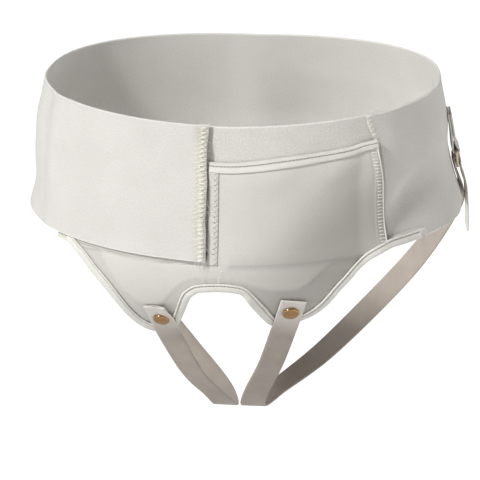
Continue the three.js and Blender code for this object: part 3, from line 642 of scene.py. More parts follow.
# Brushed loop pile: curly noise over a warm white
def loopMaterial():
    material, tree, shader, place = startMaterial("loopWhite", 0.95, Sheen_Weight=0.4, Sheen_Roughness=0.6)
    base = twoTones(tree, place, (0.725, 0.705, 0.68), (0.755, 0.735, 0.705), 60.0)
    curls = cellsAt(tree, place, 1100.0, 1.0)
    base = tinted(tree, base, "strip", 0.8, (0.76, 0.74, 0.63, 1))
    base = tinted(tree, base, "edge", 1.0, fabricTones["edge"])
    tree.links.new(speckled(tree, place, base, 700.0, 0.09), shader.inputs["Base Color"])
    setBump(tree, shader, addMath(tree, "ADD", curls, noiseAt(tree, place, 2200.0, 4.0)), 0.5, 0.0004)
    return material


# Soft knit: wales across, courses down. Where the second cloth lies behind, it is whiter
def clothMaterial(name, dark, light, single):
    material, tree, shader, place = startMaterial(name, 0.88, Sheen_Weight=0.3, Sheen_Roughness=0.55)
    tones = twoTones(tree, place, dark, light, 30.0)
    weave, _ = weaveHeight(tree, place, 0.0008, 0.00065, 0.0002)
    height = addHeights(tree, (weave, 0.4), (noiseAt(tree, place, 1800.0, 3.0), 1.0))
    base = mixColor(tree, readShare(tree, "doubled"), single, tones)
    # painted shade along the band's lower edge under the cloth
    base = tinted(tree, base, "bandEdgeShade", 0.55, fabricTones["bandEdgeShade"])
    # painted shade in the pocket's hollow
    base = tinted(tree, base, "paintedHollowShade", 0.8, fabricTones["hollow"])
    # painted shade beside the pocket's hems and in the fold
    base = tinted(tree, base, "line", 0.75, fabricTones["paintedCreaseShade"])
    tree.links.new(speckled(tree, place, base, 900.0, 0.05), shader.inputs["Base Color"])
    setBump(tree, shader, height, 0.3, 0.0002)
    return material


# Folded tape: fine ribs across it, bright warm white
def tapeMaterial():
    material, tree, shader, place = startMaterial("tapeWhite", 0.75, Sheen_Weight=0.2, Sheen_Roughness=0.45)
    base = twoTones(tree, place, (0.81, 0.79, 0.755), (0.85, 0.83, 0.8), 90.0)
    weave, waves = weaveHeight(tree, place, 0.0007, 0.0009, 0.00015)
    # painted shade in the stitched groove
    base = tinted(tree, base, "line", 0.8, fabricTones["paintedCreaseShade"])
    tree.links.new(base, shader.inputs["Base Color"])
    setBump(tree, shader, addHeights(tree, (waves[0], 0.35), (weave, 0.3)), 0.3, 0.0002)
    return material


# Webbing: cross ribs and lengthways cords, a duller greyish white that is painted shade, creamier where no
# shade is painted
def webbingMaterial():
    material, tree, shader, place = startMaterial("strapWhite", 0.85, Sheen_Weight=0.25,
                                                  Sheen_Roughness=0.5)
    base = twoTones(tree, place, (0.42, 0.365, 0.32), (0.47, 0.415, 0.365), 60.0)
    weave, _ = weaveHeight(tree, place, 0.0016, 0.0012, 0.00025)
    height = addHeights(tree, (weave, 0.6), (noiseAt(tree, place, 1600.0, 3.0), 1.0))
    # its own creamy white near the strap's ends and on the tabs, where no shade is painted
    base = tinted(tree, base, "fresh", 0.9, (0.87, 0.84, 0.79, 1))
    # faint painted shade between the ribs
    base = ribbed(tree, base, weave, 0.25, (0.45, 0.42, 0.39, 1))
    tree.links.new(speckled(tree, place, base, 800.0, 0.07), shader.inputs["Base Color"])
    setBump(tree, shader, height, 0.45, 0.00035)
    return material


# Hook tape: rows of tiny points
def hookMaterial():
    material, tree, shader, place = startMaterial("hookWhite", 0.6)
    points = cellsAt(tree, place, 700.0, 0.15)
    tones = twoTones(tree, place, (0.6, 0.59, 0.55), (0.7, 0.69, 0.66), 200.0)
    tree.links.new(tones, shader.inputs["Base Color"])
    setBump(tree, shader, addMath(tree, "SUBTRACT", 1.0, points), 0.8, 0.0006)
    return material


# Thread: twisted ply along its length
def threadMaterial(name, color):
    material, tree, shader, place = startMaterial(name, 0.6, Sheen_Weight=0.2)
    _, waves = weaveHeight(tree, place, 0.0006, 0.0006, 0.0)
    tones = twoTones(tree, place, tuple(c * 0.93 for c in color), color, 400.0)
    tree.links.new(tones, shader.inputs["Base Color"])
    setBump(tree, shader, waves[0], 0.3, 0.0001)
    return material


# Polished plate, warm, with fine scuffs and faint brushing
def nickelMaterial(name, dark, light, roughness):
    material, tree, shader, place = startMaterial(name, roughness, "Object", Metallic=1.0)
    tones = twoTones(tree, place, dark, light, 500.0)
    tree.links.new(tones, shader.inputs["Base Color"])
    scuffs = noiseAt(tree, place, 2500.0, 4.0)
    ends = {"Value": scuffs, "To Min": roughness * 0.7, "To Max": roughness * 1.5}
    rough = addNode(tree, "ShaderNodeMapRange", ends)
    tree.links.new(rough.outputs[0], shader.inputs["Roughness"])
    setBump(tree, shader, scuffs, 0.08, 0.0001)
    return material


elasticWhite = elasticMaterial()
loopWhite = loopMaterial()
clothWhite = clothMaterial("clothWhite", (0.705, 0.685, 0.655), (0.735, 0.715, 0.685),
                           (0.5, 0.475, 0.45, 1))
tapeWhite = tapeMaterial()
strapWhite = webbingMaterial()
hookWhite = hookMaterial()
creamThread = threadMaterial("creamThread", (0.88, 0.86, 0.8))
whiteThread = threadMaterial("whiteThread", (0.87, 0.85, 0.81))
capNickel = nickelMaterial("capNickel", (0.44, 0.26, 0.12), (0.52, 0.33, 0.17), 0.18)
slideNickel = nickelMaterial("slideNickel", (0.5, 0.43, 0.32), (0.66, 0.58, 0.45), 0.28)
print("materials made")


# Material of one piece and the CAD nodes it replaces, which are hidden. The slot is not used
def finish(piece, material, slot, *nodes):
    piece.data.materials.append(material)
    if nodes:
        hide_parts(*nodes)
    return piece


# Waist band: one long wall from the seam to the free end. It rises and stands off at its end
def bandPlace(U, V, H):
    seam = band["seamAt"]
    slant = smooth(V, band["slantFrom"], form["height"]) * (1 - between(U, (0, band["slantLength"]), seam))
    waver = sum(size * np.sin(V / pitch + shift) for size, pitch, shift in band["waver"])
    flattened = 1 - between(U, (0, band["seamFlat"]), seam)
    U = U - band["slant"] * slant + waver * smooth(U, freeEnd - band["wavers"], freeEnd)
    rise = band["freeEndRise"] * lapShare(U)
    up = (V + rise) / form["height"]
    over = smooth(U, ringLength - landing["left"], freeEnd)
    buckle = foldHeight(band["endFolds"], angleAt(U), up) * over
    atEnd = smooth(U, freeEnd - band["cornerLength"], freeEnd)
    corner = band["cornerSink"] * between(V, band["corner"]) * atEnd
    lift = bandLift(U) + buckle + band["thick"] / 2 - band["seamSink"] * flattened - corner
    return bandPoint(U, V + rise, lift + H * (1 - band["seamThin"] * flattened))


# Share of the firm woven edge along both sides
def selvedgeShare(height):
    return 1 - between(np.minimum(height, form["height"] - height), band["woven"])


# Rows of a band from its lower to its upper edge, each selvedge a strip of its own
def bandRows(rim):
    stops = [0, band["selvedge"], form["height"] - band["selvedge"], form["height"]]
    return spread(stops, band["rowPitch"], rim)


def makeWaistBand():
    seam, fine, rim = band["seamAt"], band["seamAt"] + band["fineLength"], band["thick"] / 2
    far = spread([fine, freeEnd - band["endRow"], freeEnd], band["pitch"], rim)
    us = np.append(spread([seam, fine], band["finePitch"], rim), far[1:])
    U, V = np.meshgrid(us, bandRows(rim), indexing="ij")
    points, quads, flat = clothWall(U, V, bandPlace, band["thick"])
    along, height = flat.T
    strip = smooth(along, freeEnd - band["strip"][0], freeEnd - band["strip"][1])
    # soft shade on the band beside the pocket's right edge
    slanted = along - band["slant"] * smooth(height, band["slantFrom"], form["height"])
    hemAt = pocketLean(np.full(len(flat), float(front["pocketRight"])), -height)
    line = band["shade"] * (1 - between(slanted - hemAt, band["shadeEnds"]))
    line = line * smooth(height, 0, band["shadeLow"]) * (1 - between(height, band["shadeTop"]))
    shade = {"edge": selvedgeShare(height), "strip": strip, "line": line}
    piece = makePiece("waistBand", points, quads, flat, shade)
    finish(piece, elasticWhite, "elastic_white", "waist_band")


# Its hidden end hangs a little lower and shows under the band's edge
def landingPlace(U, V, H):
    peek = landing["peek"] * (1 - between(U, landing["peekEnds"]))
    sag = np.maximum(landing["sag"] * (1 - between(U, landing["sagEnds"], -landing["left"])), peek)
    return bandPoint(U, V - sag * (1 - between(V, landing["sagRows"])), landing["thick"] / 2 + H)


def makeLandingBand():
    end = band["seamAt"] + band["seamLap"]
    us = spread([-landing["left"], end], band["pitch"], landing["thick"] / 2)
    U, V = np.meshgrid(us, bandRows(landing["thick"] / 2), indexing="ij")
    points, quads, flat = clothWall(U, V, landingPlace, landing["thick"])
    shade = {"edge": selvedgeShare(flat[:, 1]), "strip": 1 - between(flat[:, 0], landing["strip"])}
    piece = makePiece("landingBand", points, quads, flat, shade)
    finish(piece, loopWhite, "loop_white", "landing_band")


def makeHookPatch():
    inner = landing["thick"] + clearance["hard"]
    thick = freeEndBase - clearance["hard"] - inner
    start = -band["freeEndAt"] - hook["margin"] - hook["width"]
    us = spread([start, start + hook["width"]], hook["pitch"], hook["rim"])
    vs = spread([hook["margin"], form["height"] - hook["margin"]], hook["pitch"], hook["rim"])
    U, V = np.meshgrid(us, vs, indexing="ij")
    place = lambda u, v, h: bandPoint(u, v, inner + thick / 2 + h)
    points, quads, flat = clothWall(U, V, place, thick, rim=hook["rim"])
    piece = makePiece("hookPatch", points, quads, flat)
    finish(piece, hookWhite, "loop_white", "hook_patch")


makeWaistBand()
makeLandingBand()
makeHookPatch()
print("bands made")


# Front panel. Its relief: the band's lower edge pressed through, the second cloth's outline, the
# turned hems at the pocket's sides, small gathers above the arch
panel = {
    "pitch": 2.2, "upRows": 28, "dropRows": 30, "rim": 0.6, "edgeRow": 2.5,
    "edgeRidge": 0.7, "ridgeAt": (-0.6, 2.2), "dipAt": (5, 3.5), "dipShare": 0.8,
    "ridgeEnds": (4, 12, 112, 124), "plyStep": 0.55, "plyEase": 2.4, "plyFrom": (0, 6),
    "gather": 0.3, "gatherPitch": 7.5, "gatherWide": 7, "gatherFrom": (2, 10),
    "hemWidth": 7.7, "hemStep": 0.8, "hemEnd": (0.6, 1.4),
    "single": 0.3, "singleEase": (12, 50),   # how far the single cloth shows on the wearer's right
    # painted shade in the pocket's hollow
    "paintedHollowShade": (101, 20, 66, 38),               # the pocket's hollow: along, up, half widths
    "fold": (4.8, 2.4), "foldEase": (-124, -92), "foldEnds": (-126, -118, -96, -84),
    # painted shade along the band's lower edge under the cloth: middle and width below the edge, then where
    # it starts and ends along
    "bandEdgeShade": (2.2, 2.6), "bandEdgeShadeEnds": (4, 10, 116, 124),
}


def clothDrop(along):
    slope = (outlineDrop(along + 1) - outlineDrop(along - 1)) / 2
    return outlineDrop(along) - tape["width"] / 2 * np.hypot(1, slope)


# 1 where the second cloth lies behind the panel, 0 outside its outline
def doubledShare(along, down):
    low, high = front["ply"][0][0] * front["reach"], front["ply"][-1][0] * front["reach"]
    inside = smooth(along, low - 2, low + 2) * (1 - smooth(along, high - 2, high + 2))
    return inside * (1 - between(down, (-panel["plyEase"], panel["plyEase"]), plyDrop(along)))


# Painted shade: 1 in the middle of the pocket's hollow, below a slanting fold
def hollowShadeShare(along, down):
    at, up, wide, tall = panel["paintedHollowShade"]
    a, b = (along - at) / wide, (-down - up - 0.35 * (along - at)) / tall
    return np.exp(-(a * a + b * b) ** 1.5)


def panelRelief(along, down):
    ridge = bell(down, *panel["ridgeAt"]) - panel["dipShare"] * bell(down, *panel["dipAt"])
    ridge = panel["edgeRidge"] * ridge * within(along, panel["ridgeEnds"])
    ply = panel["plyStep"] * doubledShare(along, down) * between(down, panel["plyFrom"])
    left = 1 - between(along, (-0.3, 0.3), panel["hemWidth"] - front["pocketLeft"])
    left = left * (1 - between(down, panel["hemEnd"])) * (along > -front["pocketLeft"] - 0.01)
    right = between(along, (-0.4, 0.4), front["pocketRight"] - panel["hemWidth"]) * (down < 0)
    hem = panel["hemStep"] * np.maximum(left, right)
    edge = outlineDrop(along) - down
    wave = np.sin(along * 2 * np.pi / panel["gatherPitch"] + 1.3 * np.sin(along / 9))
    gather = panel["gather"] * wave * bell(edge, tape["width"], panel["gatherWide"])
    gather = gather * between(down, panel["gatherFrom"])
    return ridge + ply + hem + gather


def panelPlace(U, V, H):
    U = pocketLean(U, V)
    return clothPoint(U, V, panelBase(U, V) + front["thick"] / 2 + panelRelief(U, V) + H)


def makeFrontPanel():
    left, right = -front["pocketLeft"], front["pocketRight"]
    hems = [left, left + panel["hemWidth"], right - panel["hemWidth"], right]
    us = spread([-front["reach"], *hems, front["bindingReach"]], panel["pitch"], panel["rim"])
    low = clothDrop(us)
    edge = np.minimum(0, low - panel["edgeRow"])
    top = -mouthUp(us) + tape["pocketWidth"] / 2
    upper = spread([0, 1], 1 / panel["upRows"], panel["rim"] / 66)
    lower = spread([0, 1], 1 / panel["dropRows"], 0.02)[1:]
    V = np.concatenate([mix(top[:, None], -front["lap"], upper[None]),
                        mix(edge[:, None], low[:, None], lower[None])], 1)
    U = np.broadcast_to(us[:, None], V.shape)
    middle = (us[:-1] + us[1:]) / 2
    rows = np.arange(V.shape[1] - 1)
    keep = (rows[None] >= len(upper) - 1) | ((middle > left) & (middle < right))[:, None]
    points, quads, flat = clothWall(U, V, panelPlace, front["thick"], keep)
    along, down = flat.T
    # painted shade: dark lines beside the left hem, under it, beside the right hem and in the fold
    hemShadeLine = bell(along, hems[1], 0.4) * smooth(-down, -1.6, 0)
    endShadeLine = bell(down, 1.1, 0.5) * (along < hems[1] + 0.4)
    rightShadeLine = bell(along, hems[2], 0.45) * (down < 0)
    foldAt = mix(*panel["fold"], between(along, panel["foldEase"]))
    foldShadeLine = bell(down, foldAt, 0.6) * within(along, panel["foldEnds"])
    single = np.minimum(1 - doubledShare(along, down), smooth(down, -1, 4))
    middle, wide = panel["bandEdgeShade"]
    shade = {
        "doubled": 1 - single * mix(panel["single"], 1, between(along, panel["singleEase"])),
        "line": np.clip(hemShadeLine * 0.7 + endShadeLine + rightShadeLine * 0.4 + foldShadeLine * 0.6, 0, 1),
        "bandEdgeShade": np.exp(-((down - middle) / wide) ** 4) * within(along, panel["bandEdgeShadeEnds"]),
        "paintedHollowShade": hollowShadeShare(along, down),
    }
    piece = makePiece("frontPanel", points, quads, flat, shade)
    finish(piece, clothWhite, "cloth_white", "front_panel")
    return piece


def makeInnerPly():
    low, high = front["ply"][0][0] * front["reach"], front["ply"][-1][0] * front["reach"]
    us = spread([low, high], 3, 0.6)
    vs = spread([0, 1], 1 / 16, 0.02)
    bottom = np.maximum(front["plyLeast"], plyDrop(us))
    V = mix(front["plyTop"], bottom[:, None], vs[None])
    U = np.broadcast_to(us[:, None], V.shape)
    middle = panelLift - clearance["cloth"] - front["plyThick"] / 2
    points, quads, flat = clothWall(U, V, lambda u, v, h: clothPoint(u, v, middle + h), front["plyThick"])
    piece = makePiece("innerPly", points, quads, flat, {"doubled": np.ones(len(flat))})
    finish(piece, clothWhite, "cloth_white", "inner_ply")


makeFrontPanel()
makeInnerPly()
print("front panel made")


# Tapes folded over an edge

tapeLook = {
    "pitch": 1.3, "roll": 0.35, "groove": 0.75, "grooveWide": 0.38, "ridge": 0.25,
    "pocketGrooveAt": 2.5, "innerRidge": 1.9, "pocketFrom": -7.8, "ripple": 0.14, "ripplePitch": 6.5,
    "stitch": 2.3, "stitchSpace": 0.6, "stitchRadius": 0.17, "swell": (2.6, 1.8), "seat": 3.4,
    "free": -200,                            # no limit to how high the inner flap may lie
    # along, share of the width
    "legRight": [(-134, 0.78), (-112, 0.95), (-90, 1), (-70, 1), (-54, 0.8)],
    "legLeft": [(48, 1), (174, 1)],
    "arch": [(-56, 1), (14, 1), (27, 1.4), (38, 1.45), (48, 1.2)],
    "pocket": [(-8, 1), (40, 1), (110, 0.76), (127, 0.76)],
    # pulled places at the arch's corners: along, half width, lift
    "puckers": [(-20, 1.3, 0.9), (-17, 1, -0.6), (17, 1.2, -0.5), (20.5, 1.5, 1.1), (25, 1.3, -0.7),
                (30, 1.6, 0.7)],
}
tapeOuter = front["thick"] + clearance["cloth"] + tape["thick"]
tapeInner = -clearance["cloth"] - tape["thick"]


# Height of a tape's outer side over the distance x from its fold: a soft roll, a stitched groove
# and a low ridge, roll * sin(pi s) - groove * exp(-((x - grooveAt) / wide)^2) + ridge * sin(pi t)
def tapeTopHeight(x, width, grooveAt):
    s = np.clip(x / (grooveAt - 0.4), 0, 1)
    t = np.clip((x - grooveAt - 0.4) / (width - grooveAt - 0.6), 0, 1)
    raised = tapeLook["roll"] * np.sin(np.pi * s) + tapeLook["ridge"] * np.sin(np.pi * t)
    return tapeOuter + raised - tapeLook["groove"] * bell(x, grooveAt, tapeLook["grooveWide"])


# Closed section of a folded tape: distance from the fold, height
def tapeSection(width, grooveAt):
    middle, radius = (tapeInner + tapeOuter) / 2, (tapeOuter - tapeInner) / 2
    near = grooveAt + np.array([-0.8, -0.5, -0.3, -0.12, 0, 0.12, 0.3, 0.5, 0.8])
    x = np.concatenate([np.linspace(radius * 0.8 + 0.2, near[0] - 0.2, 5), near,
                        np.linspace(near[-1] + 0.2, width - 0.6, 5)])
    turn = np.radians(np.linspace(-75, 75, 9))
    fold = np.stack([radius * 0.8 * (1 - np.cos(turn)), middle + radius * np.sin(turn)], -1)
    lip, half = np.radians(np.linspace(80, -80, 5)), tape["thick"] / 2
    outerLip = np.stack([width - half + half * np.cos(lip), tapeOuter - half + half * np.sin(lip)], -1)
    innerLip = np.stack([width - half + half * np.cos(lip), tapeInner + half + half * np.sin(lip)], -1)
    high, low = tapeOuter - tape["thick"], tapeInner + tape["thick"]
    seat = np.array([(width - 1, high), (tape["thick"] + 0.3, high), (tape["thick"], high - 0.4),
                     (tape["thick"], low + 0.4), (tape["thick"] + 0.3, low), (width - 1, low)])
    back = np.array([(width - 0.8, tapeInner), (width / 2, tapeInner), (radius, tapeInner)])
    outside = np.stack([x, tapeTopHeight(x, width, grooveAt)], -1)
    return np.concatenate([fold, outside, outerLip, seat, innerLip, back])


# Place on a tape: along its edge line, distance inwards from its fold, height over the cloth
def tapePlace(edge, side, along, x, h, highest, widths):
    x = x * widths(along)
    slope = (edge(along + 0.5) - edge(along - 0.5)) * side
    inward = unit(np.stack([slope, -np.ones_like(slope)], -1))
    across = along + inward[..., 0] * x * side
    free = edge(along) + inward[..., 1] * x * side
    down = np.where(h < 0, np.maximum(free, highest), free)
    turn = along * 2 * np.pi / tapeLook["ripplePitch"] + 2 * np.sin(along / 11)
    ripple = tapeLook["ripple"] * np.sin(turn)
    for at, wide, lift in tapeLook["puckers"]:
        ripple = ripple + side * lift * bell(along, at, wide) * (edge(along) > 0)
    swell = np.where(h > front["thick"], ripple * bell(x, *tapeLook["swell"]), 0)
    across = pocketLean(across, down)
    return clothPoint(across, down, panelBase(across, free) + h + swell)


# Straight stitches along a tape's groove
def grooveStitches(edge, side, along, width, grooveAt, highest, widths):
    bottom = tapeTopHeight(grooveAt, width, grooveAt)
    fine = np.linspace(along[0] + 0.5, along[-1] - 0.5, 4 * len(along))
    centre = tapePlace(edge, side, fine, grooveAt, bottom + 0.05 + 0 * fine, highest, widths)
    above = tapePlace(edge, side, fine, grooveAt, bottom + 1.05 + 0 * fine, highest, widths)
    return straightStitches(centre, unit(above - centre), tapeLook["stitch"], tapeLook["stitchSpace"],
                            tapeLook["stitchRadius"])


# One tape and its stitches. Its inner flap lies below the line highest
def makeTape(name, node, along, edge, side, width, grooveAt, shares, highest):
    widths = curveThrough(shares)
    section = tapeSection(width, grooveAt)
    x, h = section[:, 0][None], section[:, 1][None]
    still = 0 * along[:, None]
    points = tapePlace(edge, side, along[:, None] + 0 * x, x + still, h + still, highest, widths)
    around = lengthsAlong(section)
    length = lengthsAlong(points[:, 0])
    flat = np.stack(np.broadcast_arrays(length[:, None], around[None]), -1)
    # painted shade in the stitched groove
    grooveShade = bell(x, grooveAt, 0.42) * (h > front["thick"] + clearance["cloth"])
    quads = ringQuads(ringIndex(*points.shape[:2]))
    shade = {"line": (grooveShade + still).ravel()}
    piece = makePiece(name, points.reshape(-1, 3), quads, flat.reshape(-1, 2), shade)
    closeEnds(piece)
    finish(piece, tapeWhite, "tape_white", node)
    seam = grooveStitches(edge, side, along, width, grooveAt, highest, widths)
    finish(makePiece(name + "Stitches", *joinBodies(seam)), whiteThread, "tape_white")


# Fills the open ends of a lofted piece with flat faces
def closeEnds(piece):
    work = bmesh.new()
    work.from_mesh(piece.data)
    rim = [edge for edge in work.edges if edge.is_boundary]
    made = bmesh.ops.holes_fill(work, edges=rim, sides=0)
    bmesh.ops.triangulate(work, faces=made["faces"])
    bmesh.ops.recalc_face_normals(work, faces=work.faces[:])
    work.to_mesh(piece.data)
    work.free()


def makeTapes():
    right, left = lobeMiddle
    meet = clearance["hard"]
    steps = lambda low, high: np.linspace(low, high, round((high - low) / tapeLook["pitch"]) + 1)
    start, free = 2 * tape["thick"] - front["reach"], tapeLook["free"]
    rows = [
        ("legBindingRight", "leg_binding_right", "legRight", start, right - meet, clearance["hard"]),
        ("legBindingLeft", "leg_binding_left", "legLeft", left + meet, front["bindingReach"], free),
        ("archBinding", "arch_binding", "arch", right + meet, left - meet, free),
    ]
    for name, node, key, low, high, highest in rows:
        grooveAt = tape[key] - tapeLook["innerRidge"]
        makeTape(name, node, steps(low, high), outlineDrop, 1, tape[key], grooveAt, tapeLook[key], highest)
    makeTape("pocketBinding", "pocket_binding", steps(tapeLook["pocketFrom"], front["pocketRight"]),
             lambda along: -mouthUp(along), -1, tape["pocketWidth"], tapeLook["pocketGrooveAt"],
             tapeLook["pocket"], free)


makeTapes()
print("tapes made")


# Straps, tabs and slides

strap = {
    "width": 20, "thick": 1.6, "pitch": 2.4, "crotchDrop": 217, "seatDepth": 112,
    # share of the reach, share of the lobe's drop, rise in shares of the thickness
    "seats": {
        1: [(0.422, 0.375, 0), (0.405, 0.508, 0), (0.374, 0.8, 0.4)],
        -1: [(-0.408, 0.5, 0), (-0.394, 0.685, 0), (-0.392, 0.95, 0.4)],
    },
    "end": {1: (0.8, 0.3), -1: (2.6, 2.2)},  # slant of the cut end, height of its curled corner
    # painted shade on the strap sets in between 12 and 50 mm back from its ends
    "slantEnds": (2, 16), "curlEnds": (3, 20), "fresh": (12, 50),
    # share of half the hip width, of seatDepth, of crotchDrop, degrees to the side, degrees down
    "route": {
        1: [(0.187, -0.44, 0.79, 12, 42), (0.098, -0.19, 0.925, 10, 60)],
        -1: [(0.181, -0.33, 0.849, 12, 52), (0.099, -0.14, 0.941, 10, 64)],
        0: [(23 / 340, 0.08, 1, 90, 88), (0.14, 0.5, 0.975, 172, 66), (0.33, 0.85, 0.87, 166, 36),
            (0.56, 0.99, 0.69, 158, 14), (0.77, 0.93, 0.5, 142, 2)],
    },
    # degrees past the slide, share of its lower bar's height, shares of the thickness
    "hip": [(11.5, -0.85, -2.2), (6, -0.05, -0.5), (3.6, 0.4, -0.6), (1.9, 0.78, -1)],
    # share of the tail's length, shares of the thickness
    "tail": [(0.35, 1.95), (0.7, 1.6), (1, 0.6)],
}
adjuster = {
    "bar": 2, "thick": 2, "window": 6, "smallWindow": 3, "tab": 31, "tabSink": 1.1, "tail": 57, "left": 99,
    "right": 107, "height": 0.39, "lean": 14, "pitch": 3, "stand": 2.5, "wrapSteps": 12,
}
strapLift = tapeTop + clearance["hard"] + strap["thick"] / 2
innerLayer = band["thick"] + adjuster["stand"] + strap["thick"] / 2
barLift = innerLayer + strap["thick"] / 2 + clearance["cloth"] + adjuster["thick"] / 2
outerLayer = 2 * barLift - innerLayer
middleBar = -(adjuster["bar"] + adjuster["window"])
bottomBar = middleBar - adjuster["bar"] - adjuster["smallWindow"]


def ringNormal(angle, up):
    rise = ringPoint(angle, up + 0.05, 0) - ringPoint(angle, up - 0.05, 0)
    around = ringPoint(angle + 0.05, up, 0) - ringPoint(angle - 0.05, up, 0)
    return unit(np.cross(around, rise))


# Local place on a hip: origin, up along the band, out from it and the webbing's width
def hipPlace(side):
    angle = np.array(math.radians(adjuster["left"] if side > 0 else -adjuster["right"]))
    up = np.array(adjuster["height"])
    origin = ringPoint(angle, up, 0)
    out = ringNormal(angle, up)
    rise = unit(ringPoint(angle, up + 0.1, 0) - ringPoint(angle, up - 0.1, 0))
    lean = Matrix.Rotation(side * math.radians(adjuster["lean"]), 3, Vector(out))
    rise = np.array(lean @ Vector(rise))
    wide = unit(np.cross(rise, out))
    pitch = Matrix.Rotation(math.radians(adjuster["pitch"]), 3, Vector(wide))
    return angle, origin, np.array(pitch @ Vector(rise)), np.array(pitch @ Vector(out)), wide


def hipPoints(side, rows):
    _, origin, rise, out, _ = hipPlace(side)
    rows = np.array(rows, float)
    return origin + rise * rows[:, :1] + out * rows[:, 1:]


# Half turn of webbing round a bar
def wrapRows(barHeight, over):
    turn = np.linspace(0, np.pi, adjuster["wrapSteps"] + 1)
    radius = barLift - innerLayer
    way = 1 if over else -1
    return list(zip(barHeight + way * radius * np.sin(turn), barLift - radius * np.cos(turn)))


# Evenly spaced points along a smooth curve: a centripetal Catmull-Rom spline through the rows
def smoothRoute(points, values, pitch):
    gaps = np.sqrt(np.linalg.norm(np.diff(points, axis=0), axis=1))
    knots = np.append(0, np.cumsum(gaps))
    rate = np.gradient(points, knots, axis=0)
    s = np.linspace(0, knots[-1], 4000)
    i = np.clip(np.searchsorted(knots, s) - 1, 0, len(knots) - 2)
    span = (knots[i + 1] - knots[i])[:, None]
    t = ((s - knots[i])[:, None]) / span
    path = ((1 + 2 * t) * (1 - t) ** 2 * points[i] + t * (1 - t) ** 2 * span * rate[i]
            + t * t * (3 - 2 * t) * points[i + 1] + t * t * (t - 1) * span * rate[i + 1])
    length = lengthsAlong(path)
    even = np.linspace(0, length[-1], round(length[-1] / pitch) + 1)
    at = np.interp(even, length, s)
    return rowsAt(at, s, path), rowsAt(at, knots, values), np.interp(knots, s, length)


# Averages rows with their neighbours, ends held
def soften(values, rounds):
    for _ in range(rounds):
        inner = (values[:-2] + 2 * values[1:-1] + values[2:]) / 4
        values = np.concatenate([values[:1], inner, values[-1:]])
    return values


# Strap rows from the lobe to the slide: places and outward directions
def strapRows(side):
    seat = np.array(strap["seats"][side])
    along, down = seat[:, 0] * front["reach"], seat[:, 1] * front["lobeDrop"]
    points = list(clothPoint(along, down, strapLift + seat[:, 2] * strap["thick"]))
    outs = list(tuckedNormal(along, down))
    for across, back, low, faces, dips in strap["route"][side] + strap["route"][0]:
        turn, dip = math.radians(faces), math.radians(dips)
        points.append(np.array([side * across * form["hipWidth"] / 2, back * strap["seatDepth"],
                                -low * strap["crotchDrop"]]))
        outs.append(np.array([side * math.sin(turn) * math.cos(dip), -math.cos(turn) * math.cos(dip),
                              -math.sin(dip)]))
    angle, _, _, out, _ = hipPlace(side)
    for past, share, rise in strap["hip"]:
        up = np.array(share * (adjuster["height"] + bottomBar / form["height"]))
        at = angle + side * math.radians(past)
        points.append(ringPoint(at, up, innerLayer + rise * strap["thick"]))
        outs.append(ringNormal(at, up))
    points.append(hipPoints(side, [(bottomBar, innerLayer)])[0])
    outs.append(out)
    points, outs = np.array(points), np.array(outs)
    before, after = np.vstack([points[:1], points[:-1]]), np.vstack([points[1:], points[-1:]])
    return points, unit(np.cross(outs, after - before))


# Whole strap: the smooth route, then over the slide's middle bar and down in the free tail
def strapPath(side):
    points, wide = strapRows(side)
    path, wides, marks = smoothRoute(points, wide, strap["pitch"])
    hipWide = hipPlace(side)[4]
    flip = -1 if wides[-1] @ hipWide < 0 else 1
    tailRows = [(bottomBar - share * adjuster["tail"], outerLayer + rise * strap["thick"])
                for share, rise in strap["tail"]]
    rows = np.array(wrapRows(middleBar, True) + [(bottomBar, outerLayer)] + tailRows)
    count = adjuster["wrapSteps"] + 1
    low = np.linspace(rows[count - 1, 0], rows[-1, 0], 34)[1:]
    order = np.argsort(rows[count - 1:, 0])
    lifts = curveThrough(list(zip(rows[count - 1:, 0][order], rows[count - 1:, 1][order])))(low)
    rest = hipPoints(side, np.concatenate([rows[:count], np.stack([low, lifts], -1)]))
    bridge = mix(path[-1], rest[0], np.linspace(0, 1, 4)[1:-1, None])
    path = np.concatenate([path, bridge, rest])
    wides = np.concatenate([wides, np.repeat(hipWide[None] * flip, len(bridge) + len(rest), 0)])
    return path, unit(soften(wides, 6)), marks[1]


def webbingFrames(path, wides):
    way = unit(np.gradient(path, axis=0))
    wide = unit(wides - way * np.sum(wides * way, -1, keepdims=True))
    return way, wide, np.cross(way, wide)


# Flat webbing: a section of half width w and half thickness t whose short sides are half round,
# carried along the path; ends draw in over the last millimetre. The first end may be cut slanting
# and may curl off at one corner
def webbing(path, wides, width, thick, slant=0, curl=0):
    way, wide, out = webbingFrames(path, wides)
    facing = np.sign(wide[0, 0])
    flatHalf = width / 2 - thick / 2
    cross = np.linspace(-flatHalf, flatHalf, 11)
    turn = np.linspace(-90, 90, 7)[1:-1] * np.pi / 180
    rightEdge = np.stack([flatHalf + thick / 2 * np.cos(turn), thick / 2 * np.sin(turn)], -1)
    section = np.concatenate([np.stack([cross, 0 * cross - thick / 2], -1), rightEdge,
                              np.stack([cross[::-1], 0 * cross + thick / 2], -1), -rightEdge])
    length = lengthsAlong(path)
    fromEnd = np.minimum(length, length[-1] - length)
    thin = np.sqrt(1 - np.clip(1 - fromEnd / (thick / 2), 0, 1) ** 2 * 0.9)
    across = section[None, :, 0] * facing
    bend = curl * smooth(across, 0, width / 2) * (1 - between(length[:, None], strap["curlEnds"]))
    lift = section[None, :, 1] * thin[:, None] + bend * -np.sign(out[0, 1])
    shift = -slant * across / width * (1 - between(length[:, None], strap["slantEnds"]))
    stations = path[:, None] + wide[:, None] * section[None, :, :1] + out[:, None] * lift[..., None]
    stations = stations + way[:, None] * shift[..., None]
    around = lengthsAlong(section)
    flat = np.stack(np.broadcast_arrays(length[:, None], around[None]), -1)
    return loft(stations, flat), length[-1]


